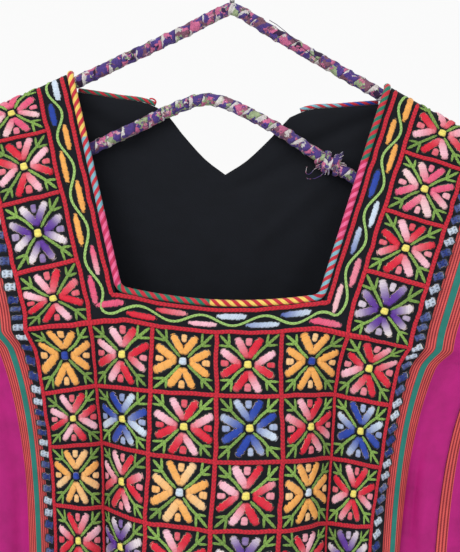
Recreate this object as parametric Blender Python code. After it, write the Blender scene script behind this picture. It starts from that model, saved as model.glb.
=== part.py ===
"""A long thobe dress with a square neck and an embroidered chest panel, on a wrapped loop hanger.

Metres, +Z up. The front faces -Y, and +X is to the right of someone who looks at the front. The
origin is the seat of the hanger's hook, where a rail carries it. Every cloth piece is a wall with
an outer and an inner side. The body's pieces share one flat layout: "across" is measured from the
centre line and "down" from the top of the neck, both along the cloth, and the functions below hang
that layout on the hanger.
"""
import math

import bmesh
import bpy
from mathutils import Vector

# Cloth walls and the gaps between the pieces.
CLOTH = 0.0016
PANEL_CLOTH = 0.0018
SEAM_GAP = 0.0003
SLEEVE_GAP = 0.0004

# The flat layout of the front and back, down from the neck's top and across from the centre line.
CELL = 0.0505
BODY_HALF = 0.220
NECK_HALF = 0.0740
NECK_DEPTH = 0.182
NECK_BORDER = 0.0245
GRID_TOP = NECK_DEPTH + NECK_BORDER
GRID_ROWS = 5
PANEL_HALF = 3 * CELL + 0.0105
PANEL_BOTTOM = GRID_TOP + GRID_ROWS * CELL + 0.0105
UNDERARM = 0.2455
HEM = 1.320

# The hanger: a loop of wire wrapped to a round bar, tilted a little, its right side lower.
TILT = 0.030
ARM_SLOPE = math.radians(27.6)
ARM_RADIUS = 0.0050
ARM_PEAK_Z = -0.075
ARM_END_LEFT = 0.190
ARM_END_RIGHT = 0.187
END_TURN_LEFT = 0.0260
END_TURN_RIGHT = 0.0351
PEAK_ROUNDING = 0.012
BAR_STRAIGHT = 0.010
HOOK_WIRE = 0.0020
HOOK_TURN = 0.018

# The lower bar's centre line, from left to right, as the tilted hanger holds it. Every table's first
# row names its columns.
BAR = (
    ("x", "z"),
    (-0.1190, -0.1914),
    (-0.0750, -0.1700),
    (-0.0450, -0.1550),
    (-0.0260, -0.1490),
    (-0.0086, -0.1505),
    (0.0110, -0.1594),
    (0.0305, -0.1690),
    (0.0500, -0.1810),
    (0.0760, -0.1975),
    (0.1000, -0.2117),
)

# The shoulders: the cloth turns over the arm on this outer radius.
SHOULDER_TURN = ARM_RADIUS + 0.0007 + CLOTH
SHOULDER_LIFT = ARM_RADIUS + SEAM_GAP + CLOTH
NECK_LEAN = math.radians(15.8)
BEND_LENGTH = 0.060
BEND_BOTTOM = GRID_TOP + 0.023
SHOULDER_CUT = math.tan(ARM_SLOPE - NECK_LEAN)
DROOP_START = 0.165
DROOP = 0.016
NECK_SAG = 0.008
NECK_SAG_REACH = 0.080

# Below the neck the weight of the panel draws the front and back in and folds them.
DRAWN_IN = 0.30
DRAW_START = 0.040
DRAW_BLEND = 0.025
DRAW_REACH = 0.075
HANG_STRAIGHT = -0.36
LEVELLED = 0.7
LEVEL_REACH = 1.0
TURN_BACK = 0.022
TURN_BACK_START = 0.045
TURN_BACK_BLEND = 0.055
BACK_TURN = 0.011
BACK_TURN_START = 0.140
BACK_TURN_BLEND = 0.080
SKIRT_TOP = 0.45
SKIRT_FOLD_GROWTH = 0.50

# How far the front and the back stand out from the hanger's plane.
DEPTH = (
    ("down", "front", "back"),
    (0.000, 0.0073, 0.0073),
    (0.020, 0.0085, 0.0080),
    (0.090, 0.0160, 0.0120),
    (0.182, 0.0260, 0.0180),
    (0.300, 0.0360, 0.0250),
    (0.450, 0.0420, 0.0310),
    (0.900, 0.0500, 0.0390),
    (1.320, 0.0560, 0.0450),
)

# The largest folds, each a soft trough down the cloth.
FRONT_FOLDS = (
    ("across", "half_width", "depth"),
    (-0.1010, 0.0140, 0.0130),
    (0.1010, 0.0150, 0.0110),
    (-0.1920, 0.0100, 0.0060),
    (0.1900, 0.0090, 0.0075),
)
BACK_FOLDS = (
    ("across", "half_width", "depth"),
    (-0.1600, 0.0220, 0.0100),
    (0.0060, 0.0260, 0.0110),
    (0.1480, 0.0200, 0.0120),
)

# The back neck: how far it lies below the neck's top, by the share of the way from the centre line.
BACK_NECK = (
    ("share", "drop"),
    (0.000, 0.0815),
    (0.155, 0.0690),
    (0.297, 0.0510),
    (0.473, 0.0250),
    (0.750, 0.0185),
    (1.000, 0.0145),
)
SLIT_CORNER = 0.473

FRONT_ROPE = 0.0028
FRONT_ROPE_LIFT = 0.0012
BACK_ROPE = 0.0018
BACK_ROPE_LIFT = 0.0004

# Gores: how far each side stands out past the body's seam, and the size of its folds.
GORE = (
    ("down", "reach", "fold"),
    (0.2455, 0.030, 0.0000),
    (0.3400, 0.041, 0.0015),
    (0.4500, 0.048, 0.0035),
    (0.6500, 0.060, 0.0065),
    (1.0000, 0.082, 0.0110),
    (1.3200, 0.100, 0.0140),
)
GORE_WAVES = 3

# Sleeves: each section's inner and outer edge and its half depth, from the armhole to the cuff.
SLEEVE = (
    ("section", "inner_x", "inner_z", "outer_x", "outer_z", "half_depth"),
    (0, 0.2290, -0.3730, 0.2605, -0.2200, 0.0120),
    (1, 0.2390, -0.3715, 0.2830, -0.2340, 0.0135),
    (2, 0.2490, -0.3790, 0.3100, -0.2620, 0.0170),
    (3, 0.2560, -0.3990, 0.3380, -0.3090, 0.0215),
    (4, 0.2615, -0.4380, 0.3625, -0.3800, 0.0255),
    (5, 0.2640, -0.4950, 0.3790, -0.4680, 0.0280),
    (6, 0.2680, -0.5700, 0.3880, -0.5600, 0.0290),
    (7, 0.2710, -0.6500, 0.3930, -0.6470, 0.0300),
    (8, 0.2730, -0.7350, 0.3960, -0.7350, 0.0310),
)
ARMHOLE_SHARE = 0.78
ARMHOLE_BLEND = 2.5
SLEEVE_FOLD = 0.30
SLEEVE_FOLD_FULL = 4
SLEEVE_FOLD_PLACE = 0.15
SLEEVE_FOLD_WIDTH = 0.35

# Where the walls have their points, finer where the cloth bends.
FRONT_ACROSS = (0.0, 0.018, 0.036, 0.0505, 0.064, 0.0771, 0.089, 0.101, 0.113, 0.130, 0.1475, 0.162,
                0.178, 0.190, 0.203, 0.220)
BACK_ACROSS = (0.0, 0.0115, 0.022, 0.035, 0.047, 0.0600, 0.0740, 0.0771, 0.101, 0.125, 0.145, 0.162,
               0.180, 0.200, 0.220)
SHOULDER_STEPS = (0.0, 0.0040, 0.0080, 0.0120)
YOKE_SHARES = (0.10, 0.27, 0.46, 0.64, 0.82, 1.0)
CHEST_TOP = NECK_DEPTH + FRONT_ROPE + SEAM_GAP
CHEST_DOWN = (GRID_TOP, UNDERARM, 0.275, 0.3075, 0.340, 0.374, 0.408, 0.442, PANEL_BOTTOM)
SKIRT_DOWN = (0.530, 0.600, 0.680, 0.770, 0.870, 0.980, 1.100, 1.215, HEM)
GORE_POINTS = 13


def clamp(value):
    return min(max(value, 0.0), 1.0)


def ease(value):
    """Rise smoothly from 0 to 1 as the value does."""
    value = clamp(value)
    return value * value * (3 - 2 * value)


def ease_area(value):
    """The area under ease() up to the value."""
    if value <= 0:
        return 0.0
    if value >= 1:
        return value - 0.5
    return value ** 3 - value ** 4 / 2


def read_table(table, place, name):
    """Read a named column on a smooth curve through a table's rows; the first column is the place."""
    column = table[0].index(name)
    rows = table[1:]
    last = len(rows) - 1
    if place <= rows[0][0]:
        return rows[0][column]
    if place >= rows[last][0]:
        return rows[last][column]
    row = max(i for i in range(last) if rows[i][0] <= place)
    span = rows[row + 1][0] - rows[row][0]
    share = (place - rows[row][0]) / span

    def slope(i):
        before, after = max(i - 1, 0), min(i + 1, last)
        return (rows[after][column] - rows[before][column]) / (rows[after][0] - rows[before][0])

    start, end = rows[row][column], rows[row + 1][column]
    rise = 3 * share ** 2 - 2 * share ** 3
    leave = share ** 3 - 2 * share ** 2 + share
    arrive = share ** 3 - share ** 2
    return start + (end - start) * rise + span * (slope(row) * leave + slope(row + 1) * arrive)


def tilt(point):
    """Hang a point from the tilted hanger: the right side lies lower, and below it hangs plumb."""
    x, y, z = point
    level = 1 - LEVELLED * ease((HANG_STRAIGHT - z) / LEVEL_REACH)
    return Vector((x + TILT * max(z, HANG_STRAIGHT), y, z - TILT * x * level))


def arm_z(x):
    """Height of the arms' centre line before the hanger is tilted."""
    return ARM_PEAK_Z - math.tan(ARM_SLOPE) * abs(x)


def neck_line(down):
    """Place and lean of the line beside the neck, which spreads outwards to the shoulder."""
    radius = BEND_LENGTH / NECK_LEAN
    straight = BEND_BOTTOM - BEND_LENGTH
    top_x = NECK_HALF + radius * (1 - math.cos(NECK_LEAN)) + straight * math.sin(NECK_LEAN)
    top_z = arm_z(top_x) + SHOULDER_LIFT / math.cos(ARM_SLOPE)
    bend_z = top_z - radius * math.sin(NECK_LEAN) - straight * math.cos(NECK_LEAN)
    height = BEND_BOTTOM - down
    if height <= 0:
        return NECK_HALF, bend_z + height, 0.0
    bent = min(height, BEND_LENGTH)
    angle = NECK_LEAN * bent / BEND_LENGTH
    x = NECK_HALF + radius * (1 - math.cos(angle)) + (height - bent) * math.sin(NECK_LEAN)
    z = bend_z + radius * math.sin(angle) + (height - bent) * math.cos(NECK_LEAN)
    return x, z, angle


def drawn(down):
    """How far the cloth has drawn in and folded at this height, from 0 to 1."""
    if down <= GRID_TOP:
        return 0.0
    return 1 - math.exp(-(down - GRID_TOP) / DRAW_REACH)


def lay(across, down):
    """Place on the front view of a point of the flat layout, for the front and back alike."""
    side = -1 if across < 0 else 1
    out = abs(across)
    x, z, angle = neck_line(down)
    if out < NECK_HALF:
        x *= out / NECK_HALF
    else:
        x += (out - NECK_HALF) * math.cos(angle)
        z -= (out - NECK_HALF) * math.sin(angle)
    x -= DRAWN_IN * drawn(down) * DRAW_BLEND * ease_area((out - DRAW_START) / DRAW_BLEND)
    beyond = max(out - DROOP_START, 0.0) / (BODY_HALF - DROOP_START)
    z -= DROOP * beyond ** 2 * (1 - ease(down / BEND_BOTTOM))
    return side * x, z


def shoulder_cut(across):
    """How far below the neck's top the shoulder seam is cut."""
    return max(abs(across) - NECK_HALF, 0.0) * SHOULDER_CUT


def turn_over(across, down):
    """Where the cloth lies in its turn over the arm: its depth there and its height on the cloth."""
    start = shoulder_cut(across)
    run = max(down - start, 0.0)
    angle = min(run / SHOULDER_TURN, math.pi / 2)
    past = max(run - SHOULDER_TURN * math.pi / 2, 0.0)
    depth = SHOULDER_TURN * math.sin(angle) + SEAM_GAP / 2
    return depth, start + SHOULDER_TURN * (1 - math.cos(angle)) + past, past


def fold_depth(folds, across):
    total = 0.0
    for place, half_width, depth in folds[1:]:
        total += depth * math.exp(-((across - place) / half_width) ** 2)
    return total


def fold_growth(down):
    return drawn(down) * (1 + SKIRT_FOLD_GROWTH * ease((down - SKIRT_TOP) / (HEM - SKIRT_TOP)))


def front(across, down):
    """Outer side of the front."""
    depth, level, past = turn_over(across, down)
    x, z = lay(across, level)
    fullness = read_table(DEPTH, past, "front") - SHOULDER_TURN
    turned = TURN_BACK * ease((abs(across) - TURN_BACK_START) / TURN_BACK_BLEND) * drawn(down)
    y = -depth - fullness + turned + fold_depth(FRONT_FOLDS, across) * fold_growth(down)
    sag = NECK_SAG * (1 - min(abs(across) / NECK_HALF, 1.0) ** 2)
    z -= sag * math.exp(-max(down - CHEST_TOP, 0.0) / NECK_SAG_REACH)
    return tilt((x, y, z))


def back(across, down):
    """Outer side of the back."""
    depth, level, past = turn_over(across, down)
    x, z = lay(across, level)
    fullness = read_table(DEPTH, past, "back") - SHOULDER_TURN
    turned = BACK_TURN * ease((abs(across) - BACK_TURN_START) / BACK_TURN_BLEND) * drawn(down)
    y = depth + fullness - turned - fold_depth(BACK_FOLDS, across) * fold_growth(down)
    return tilt((x, y, z))


def gore(side, share, down):
    """Outer side of a gore, from its seam with the front (share 0) to its seam with the back."""
    start = front(side * BODY_HALF, down)
    end = back(side * BODY_HALF, down)
    reach = read_table(GORE, down, "reach")
    wave = read_table(GORE, down, "fold")
    angle = math.pi * share
    middle = start.lerp(end, (1 - math.cos(angle)) / 2)
    fold = wave * math.sin(2 * GORE_WAVES * angle) * math.sin(angle)
    x = middle.x + side * (SEAM_GAP + reach * math.sin(angle) + fold * math.sin(angle))
    y = middle.y - fold * math.cos(angle)
    return Vector((x, y, middle.z))


def outward(surface, a, b, step=0.0002):
    """Unit normal of a surface function at a, b, by its two slopes."""
    along_a = surface(a + step, b) - surface(a - step, b)
    along_b = surface(a, b + step) - surface(a, b - step)
    return along_a.cross(along_b).normalized()


def material(name, colour, roughness, metallic=0.0):
    made = bpy.data.materials.new(name)
    made.use_nodes = True
    shader = made.node_tree.nodes["Principled BSDF"]
    shader.inputs["Base Color"].default_value = (*colour, 1.0)
    shader.inputs["Roughness"].default_value = roughness
    shader.inputs["Metallic"].default_value = metallic
    return made


def link(name, bm, finish):
    """Turn a finished mesh into a named object, its faces pointing out."""
    if bm.calc_volume(signed=True) < 0:
        bmesh.ops.reverse_faces(bm, faces=bm.faces[:])
    mesh = bpy.data.meshes.new(name)
    bm.to_mesh(mesh)
    bm.free()
    mesh.shade_smooth()
    mesh.set_sharp_from_angle(angle=math.radians(40))
    mesh.materials.append(finish)
    made = bpy.data.objects.new(name, mesh)
    bpy.context.scene.collection.objects.link(made)
    return made


def make_wall(name, outer, inner, kept, finish, closed=False):
    """Close a cloth wall between two matching grids; kept says which cells are cloth.

    A grid is a list of lines across the cloth, each a list of points down it. A closed wall is a
    tube, whose last line joins its first.
    """
    bm = bmesh.new()
    lines, points = len(outer), len(outer[0])
    made = {}

    def vertex(layer, i, j):
        key = (layer, i % lines, j)
        if key not in made:
            made[key] = bm.verts.new((outer if layer == 0 else inner)[i % lines][j])
        return made[key]

    def is_kept(i, j):
        if closed:
            i %= lines
        inside = 0 <= i < (lines if closed else lines - 1) and 0 <= j < points - 1
        return inside and kept(i, j)

    for i in range(lines if closed else lines - 1):
        for j in range(points - 1):
            if not is_kept(i, j):
                continue
            corners = ((i, j), (i + 1, j), (i + 1, j + 1), (i, j + 1))
            top = [vertex(0, *corner) for corner in corners]
            low = [vertex(1, *corner) for corner in corners]
            bm.faces.new((top[0], top[1], top[2]))
            bm.faces.new((top[0], top[2], top[3]))
            bm.faces.new((low[0], low[2], low[1]))
            bm.faces.new((low[0], low[3], low[2]))
            neighbours = ((i, j - 1), (i + 1, j), (i, j + 1), (i - 1, j))
            for edge, neighbour in enumerate(neighbours):
                if is_kept(*neighbour):
                    continue
                a, b = edge, (edge + 1) % 4
                bm.faces.new((top[b], top[a], low[a]))
                bm.faces.new((top[b], low[a], low[b]))
    return link(name, bm, finish)


def make_tube(name, route, radius, sides, finish):
    """Close a round bar along a route of points, mitred where it turns."""
    bm = bmesh.new()
    turn = (route[1] - route[0]).normalized()
    reference = Vector((0, 1, 0)) if abs(turn.y) < 0.9 else Vector((1, 0, 0))
    rings = []
    for i, point in enumerate(route):
        before = (point - route[max(i - 1, 0)]).normalized() if i else (route[1] - point).normalized()
        after = (route[min(i + 1, len(route) - 1)] - point).normalized() if i < len(route) - 1 else before
        along = (before + after).normalized()
        reference = (reference - along * reference.dot(along)).normalized()
        other = along.cross(reference)
        stretch = 1 / max(before.dot(along), 0.5)
        bend = (after - before)
        bend = bend.normalized() if bend.length > 1e-6 else None
        ring = []
        for k in range(sides):
            angle = 2 * math.pi * k / sides
            offset = (reference * math.cos(angle) + other * math.sin(angle)) * radius
            if bend is not None:
                offset += bend * offset.dot(bend) * (stretch - 1)
            ring.append(bm.verts.new(point + offset))
        rings.append(ring)
    for i in range(len(rings) - 1):
        for k in range(sides):
            a, b = rings[i][k], rings[i][(k + 1) % sides]
            c, d = rings[i + 1][(k + 1) % sides], rings[i + 1][k]
            bm.faces.new((a, b, c))
            bm.faces.new((a, c, d))
    bm.faces.new(list(reversed(rings[0])))
    bm.faces.new(rings[-1])
    return link(name, bm, finish)


def mirrored(values):
    """A list of places on one side of the centre line, repeated on both sides."""
    return [-value for value in reversed(values) if value > 0] + list(values)


def front_heights(across):
    """Heights of the points of one line of the front, from the shoulder seam to the hem."""
    return heights([shoulder_cut(across) + step for step in SHOULDER_STEPS])


def back_heights(across):
    """The same for the back; in the neck its edge is the last point of the shoulder's turn."""
    top = back_top(across)
    if abs(across) < NECK_HALF + 1e-6:
        top -= SHOULDER_STEPS[-1]
    return heights([top + step for step in SHOULDER_STEPS])


def heights(turn):
    """Heights down a line of cloth below the points of its turn over the shoulder."""
    yoke = [turn[-1] + (CHEST_TOP - turn[-1]) * share for share in YOKE_SHARES]
    return turn + yoke + list(CHEST_DOWN) + list(SKIRT_DOWN)


def layer(surface, sign, across, lines_of, moved, last=None):
    """A grid of points on a body surface, each moved out of it; sign turns the normal outwards."""
    grid = []
    for place in across:
        downs = lines_of(place)[:last]
        grid.append([surface(place, down) + outward(surface, place, down) * sign * moved for down in downs])
    return grid


def rows_down_to(down):
    """How many points of a line reach down to this height."""
    fixed = list(CHEST_DOWN) + list(SKIRT_DOWN)
    return len(SHOULDER_STEPS) + len(YOKE_SHARES) + fixed.index(down) + 1


def in_neck(across, i, j):
    """Whether a cell of the front lies in the square neck."""
    middle = (across[i] + across[i + 1]) / 2
    return abs(middle) < NECK_HALF and j < rows_down_to(GRID_TOP) - 2


def back_neck_drop(across):
    """How far below the neck's top the back neck edging and the slit's edges lie."""
    return read_table(BACK_NECK, min(abs(across) / NECK_HALF, 1.0), "drop")


def back_top(across):
    """Height of the back's top edge, clear of the edging where there is one."""
    out = abs(across)
    if out > NECK_HALF + 1e-6:
        return shoulder_cut(across)
    drop = back_neck_drop(across)
    if out < SLIT_CORNER * NECK_HALF - 0.0001:
        return drop
    step = 0.001
    here = lay(out, drop)
    there = lay(out + step, back_neck_drop(out + step))
    slope = (there[1] - here[1]) / (there[0] - here[0])
    return drop + (BACK_ROPE + SEAM_GAP) * math.sqrt(1 + slope ** 2)


def front_inner(across, down):
    return front(across, down) + outward(front, across, down) * CLOTH


def back_inner(across, down):
    return back(across, down) - outward(back, across, down) * CLOTH


def gore_inner(side, share, down):
    """Inner side of a gore; its normal is taken a little inside its edges."""
    inside = min(max(share, 0.01), 0.99)
    height = max(down, UNDERARM + 0.001)
    normal = outward(lambda a, b: gore(side, a, b), inside, height)
    return gore(side, share, down) + normal * side * CLOTH


def make_front(finish):
    across = mirrored(FRONT_ACROSS)
    outer = layer(front, -1, across, front_heights, 0.0)
    inner = layer(front, -1, across, front_heights, -CLOTH)
    return make_wall("front_body", outer, inner, lambda i, j: not in_neck(across, i, j), finish)


def make_chest_panel(finish):
    across = [place for place in mirrored(FRONT_ACROSS) if abs(place) <= PANEL_HALF + 1e-6]
    last = rows_down_to(PANEL_BOTTOM)
    lift = SEAM_GAP
    outer = layer(front, -1, across, front_heights, lift + PANEL_CLOTH, last)
    inner = layer(front, -1, across, front_heights, lift, last)
    return make_wall("chest_panel", outer, inner, lambda i, j: not in_neck(across, i, j), finish)


def make_back(finish):
    across = mirrored(BACK_ACROSS)
    outer = layer(back, 1, across, back_heights, 0.0)
    inner = layer(back, 1, across, back_heights, -CLOTH)
    turn_rows = len(SHOULDER_STEPS) - 1

    def kept(i, j):
        at_shoulder = min(abs(across[i]), abs(across[i + 1])) > NECK_HALF + 1e-6
        return at_shoulder or j >= turn_rows

    return make_wall("back_body", outer, inner, kept, finish)


def make_gore(name, side, finish):
    downs = [UNDERARM] + [down for down in (*CHEST_DOWN, *SKIRT_DOWN) if down > UNDERARM + 0.001]
    shares = [i / (GORE_POINTS - 1) for i in range(GORE_POINTS)]
    outer = [[gore(side, share, down) for down in downs] for share in shares]
    inner = [[gore_inner(side, share, down) for down in downs] for share in shares]
    return make_wall(name, outer, inner, lambda i, j: True, finish)


def armhole(side):
    """The armhole's points, from the shoulder down the front, round the gore and up the back.

    Each is its share of the way round, its outer and its inner point.
    """
    out = side * BODY_HALF
    downs = [down for down in front_heights(out) if down <= UNDERARM + 1e-6]
    top = downs[0]
    points = []
    for down in downs:
        share = ARMHOLE_SHARE / 2 * (down - top) / (UNDERARM - top)
        points.append((share, front(out, down), front_inner(out, down)))
    for i in range(1, GORE_POINTS - 1):
        part = i / (GORE_POINTS - 1)
        share = ARMHOLE_SHARE / 2 + (1 - ARMHOLE_SHARE) * part
        place = gore(side, part, UNDERARM)
        beside = gore_inner(side, part, UNDERARM)
        above = place + Vector((0, 0, CLOTH))
        points.append((share, place, beside.lerp(above, math.sin(math.pi * part) ** 0.5)))
    for down in reversed(downs[1:]):
        share = 1 - ARMHOLE_SHARE / 2 * (down - top) / (UNDERARM - top)
        points.append((share, back(out, down), back_inner(out, down)))
    return points


def sleeve_oval(side, section, turn, inset=0.0):
    """A point of a sleeve's section before it meets the armhole."""
    inner_x, inner_z, outer_x, outer_z, depth = (read_table(SLEEVE, section, name) for name in SLEEVE[0][1:])
    angle = 2 * math.pi * turn
    swing = math.cos(angle)
    half_x, half_z = (outer_x - inner_x) / 2, (outer_z - inner_z) / 2
    width = math.hypot(half_x, half_z)
    narrow = (width - inset) / width
    grown = clamp(section / SLEEVE_FOLD_FULL)
    fold = 1 - SLEEVE_FOLD * grown * math.exp(-((swing - SLEEVE_FOLD_PLACE) / SLEEVE_FOLD_WIDTH) ** 2)
    x = (outer_x + inner_x) / 2 + half_x * swing * narrow
    z = (outer_z + inner_z) / 2 + half_z * swing * narrow
    y = -(depth * fold - inset) * math.sin(angle)
    return tilt((side * x, y, z))


def make_sleeve(name, side, finish):
    """A sleeve whose first section is the armhole's own outline, a seam's gap away from it."""
    outer, inner = [], []
    for turn, outer_start, inner_start in armhole(side):
        moved = Vector((side * SLEEVE_GAP, 0, -SLEEVE_GAP * math.cos(2 * math.pi * turn)))
        for lines, start, inset in ((outer, outer_start, 0.0), (inner, inner_start, CLOTH)):
            off = start + moved - sleeve_oval(side, 0, turn, inset)
            line = []
            for section in range(len(SLEEVE) - 1):
                share = 1 - ease(section / ARMHOLE_BLEND)
                line.append(sleeve_oval(side, section, turn, inset) + off * share)
            lines.append(line)
    return make_wall(name, outer, inner, lambda i, j: True, finish, closed=True)


def front_rope_route():
    """The front neck edging's centre line, from the left shoulder round the neck to the right."""
    downs = [0.0, 0.004, 0.008, 0.012, 0.024] + [0.046 + 0.0227 * i for i in range(6)] + [NECK_DEPTH]
    places = [(-NECK_HALF, down) for down in downs]
    places += [(place, NECK_DEPTH) for place in mirrored(FRONT_ACROSS) if abs(place) < NECK_HALF]
    places += [(NECK_HALF, down) for down in reversed(downs)]
    return [front(a, d) - outward(front, a, d) * FRONT_ROPE_LIFT for a, d in places]


def back_rope_route(side):
    """One half of the back neck edging, from the shoulder to the slit's corner."""
    shares = (0.98, 0.90, 0.811, 0.72, 0.635, 0.55, SLIT_CORNER + 0.01)
    route = []
    for share in shares:
        across = side * NECK_HALF * share
        down = back_neck_drop(across)
        route.append(back(across, down) + outward(back, across, down) * BACK_ROPE_LIFT)
    return route


def arc(centre_x, centre_z, radius, start, end, steps):
    """Points on an arc in the hanger's plane, angles in radians from +X towards +Z."""
    points = []
    for i in range(steps + 1):
        angle = start + (end - start) * i / steps
        points.append(Vector((centre_x + radius * math.cos(angle), 0, centre_z + radius * math.sin(angle))))
    return points


def arms_route():
    """The upper arms and the turned ends of the loop, from the left lower end to the right."""
    normal_x, normal_z = math.sin(ARM_SLOPE), -math.cos(ARM_SLOPE)
    left_x = -ARM_END_LEFT + END_TURN_LEFT * normal_x
    left_z = arm_z(ARM_END_LEFT) + END_TURN_LEFT * normal_z
    right_x = ARM_END_RIGHT - END_TURN_RIGHT * normal_x
    right_z = arm_z(ARM_END_RIGHT) + END_TURN_RIGHT * normal_z
    up_left = math.pi / 2 + ARM_SLOPE
    up_right = math.pi / 2 - ARM_SLOPE
    route = arc(left_x, left_z, END_TURN_LEFT, up_left + math.pi, up_left, 7)
    for share in (0.8, 0.6, 0.4, 0.2):
        route.append(Vector((-ARM_END_LEFT * share, 0, arm_z(ARM_END_LEFT * share))))
    route += arc(0, ARM_PEAK_Z - PEAK_ROUNDING, PEAK_ROUNDING, up_left, up_right, 4)
    for share in (0.2, 0.4, 0.6, 0.8):
        route.append(Vector((ARM_END_RIGHT * share, 0, arm_z(ARM_END_RIGHT * share))))
    route += arc(right_x, right_z, END_TURN_RIGHT, up_right, up_right - math.pi, 8)
    return [tilt(point) for point in route]


def bar_route(arms):
    """The lower bar, bent up in its middle, between the two ends of the arms."""
    left_in = (arms[0] - arms[1]).normalized()
    right_in = (arms[-1] - arms[-2]).normalized()
    left = [arms[0] + left_in * step for step in (SEAM_GAP, BAR_STRAIGHT)]
    right = [arms[-1] + right_in * step for step in (BAR_STRAIGHT, SEAM_GAP)]
    return left + [Vector((x, 0, z)) for x, z in BAR[1:]] + right


def hook_route():
    """The hook, from its free tip over the seat and down to the arms' peak."""
    top = HOOK_WIRE - HOOK_TURN
    route = arc(0, top, HOOK_TURN, math.radians(205), math.radians(-40), 12)
    for x, z in ((0.0085, -0.0335), (0.0030, -0.0400), (0.0, -0.0480)):
        route.append(Vector((x, 0, z)))
    stem_end = ARM_PEAK_Z + ARM_RADIUS + SEAM_GAP
    route.append(Vector((0, 0, stem_end)))
    return [tilt(point) for point in route]


def make_hanger(wrap, wire):
    arms = arms_route()
    make_tube("hanger_arms", arms, ARM_RADIUS, 8, wrap)
    make_tube("hanger_bar", bar_route(arms), ARM_RADIUS, 8, wrap)
    make_tube("hanger_hook", hook_route(), HOOK_WIRE, 8, wire)


def main():
    for existing in list(bpy.data.objects):
        bpy.data.objects.remove(existing, do_unlink=True)
    cotton = material("black_cotton", (0.010, 0.014, 0.016), 0.85)
    stitched = material("stitched_panel", (0.45, 0.05, 0.07), 0.55)
    striped = material("striped_magenta", (0.35, 0.012, 0.12), 0.60)
    rope = material("neck_rope", (0.55, 0.06, 0.07), 0.50)
    wrap = material("flowered_wrap", (0.20, 0.12, 0.35), 0.75)
    wire = material("hook_wire", (0.60, 0.60, 0.60), 0.35, 1.0)
    make_front(cotton)
    make_chest_panel(stitched)
    make_back(cotton)
    make_gore("side_gore_left", -1, striped)
    make_gore("side_gore_right", 1, striped)
    make_sleeve("sleeve_left", -1, striped)
    make_sleeve("sleeve_right", 1, striped)
    make_tube("neck_edging_front", front_rope_route(), FRONT_ROPE, 8, rope)
    make_tube("neck_edging_back_left", back_rope_route(-1), BACK_ROPE, 6, rope)
    make_tube("neck_edging_back_right", back_rope_route(1), BACK_ROPE, 6, rope)
    make_hanger(wrap, wire)


if __name__ == "__main__":
    main()
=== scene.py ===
"""A square-necked thobe with a stitched chest panel, hung on a loop hanger wound with cloth strips.

The cloth pieces share one flat layout, in metres: "across" from the centre line and "down" from the
top of the neck. The surface functions hang that layout on the hanger, as the frame's solids do, and
every stitch is set out flat and then laid on the front.
"""
import math
import random

import bmesh
import bpy
import numpy as np
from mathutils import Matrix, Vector


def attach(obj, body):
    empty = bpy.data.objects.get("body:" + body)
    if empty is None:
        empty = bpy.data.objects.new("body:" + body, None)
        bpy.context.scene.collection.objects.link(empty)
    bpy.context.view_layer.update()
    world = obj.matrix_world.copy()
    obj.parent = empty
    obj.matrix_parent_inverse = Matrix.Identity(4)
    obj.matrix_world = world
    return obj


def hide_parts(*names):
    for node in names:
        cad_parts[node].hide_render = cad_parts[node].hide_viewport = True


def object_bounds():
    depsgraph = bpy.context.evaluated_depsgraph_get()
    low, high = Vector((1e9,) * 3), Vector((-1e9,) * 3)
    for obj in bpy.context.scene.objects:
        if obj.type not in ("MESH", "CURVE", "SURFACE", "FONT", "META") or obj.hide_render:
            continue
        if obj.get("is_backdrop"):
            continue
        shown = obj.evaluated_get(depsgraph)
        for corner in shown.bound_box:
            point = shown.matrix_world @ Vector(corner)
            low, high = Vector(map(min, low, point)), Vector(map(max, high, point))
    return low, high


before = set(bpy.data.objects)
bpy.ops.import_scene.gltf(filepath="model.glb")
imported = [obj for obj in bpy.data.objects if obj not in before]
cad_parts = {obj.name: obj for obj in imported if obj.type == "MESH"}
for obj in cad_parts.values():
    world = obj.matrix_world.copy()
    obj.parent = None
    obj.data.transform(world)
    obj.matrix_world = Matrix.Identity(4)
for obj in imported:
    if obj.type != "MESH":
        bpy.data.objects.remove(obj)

bl_info = {
    "name": "Stitched Thobe",
    "version": (1, 0, 0),
    "blender": (4, 5, 0),
    "location": "View3D > Sidebar > Thobe",
    "description": "Builds a hung thobe dress with a stitched chest panel on a wrapped hanger",
    "category": "Object",
}

MM = 0.001
NEAR = 1e-6

# The flat layout and the way it hangs, as in the solids.
CELL = 0.0505
BODY_HALF = 0.220
NECK_HALF = 0.0740
NECK_DEPTH = 0.182
GRID_TOP = NECK_DEPTH + 0.0245
GRID_ROWS = 5
GRID_BOTTOM = GRID_TOP + GRID_ROWS * CELL
PANEL_HALF = 3 * CELL + 0.0105
PANEL_BOTTOM = GRID_BOTTOM + 0.0105
UNDERARM = 0.2455
HEM = 1.320
CLOTH = 0.0016
PANEL_CLOTH = 0.0018
SEAM_GAP = 0.0003
SLEEVE_GAP = 0.0004
TILT = 0.030
ARM_SLOPE = math.radians(27.6)
ARM_RADIUS = 0.0050
ARM_PEAK_Z = -0.075
ARM_END_LEFT = 0.190
ARM_END_RIGHT = 0.187
END_TURN_LEFT = 0.0260
END_TURN_RIGHT = 0.0351
PEAK_ROUNDING = 0.012
BAR_STRAIGHT = 0.010
HOOK_WIRE = 0.0020
HOOK_TURN = 0.018
SHOULDER_TURN = ARM_RADIUS + 0.0007 + CLOTH
SHOULDER_LIFT = ARM_RADIUS + SEAM_GAP + CLOTH
NECK_LEAN = math.radians(15.8)
BEND_LENGTH = 0.060
BEND_BOTTOM = GRID_TOP + 0.023
SHOULDER_CUT = math.tan(ARM_SLOPE - NECK_LEAN)
DROOP_START = 0.165
DROOP = 0.016
NECK_SAG = 0.008
NECK_SAG_REACH = 0.080
DRAWN_IN = 0.30
DRAW_START = 0.040
DRAW_BLEND = 0.025
DRAW_REACH = 0.075
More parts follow.
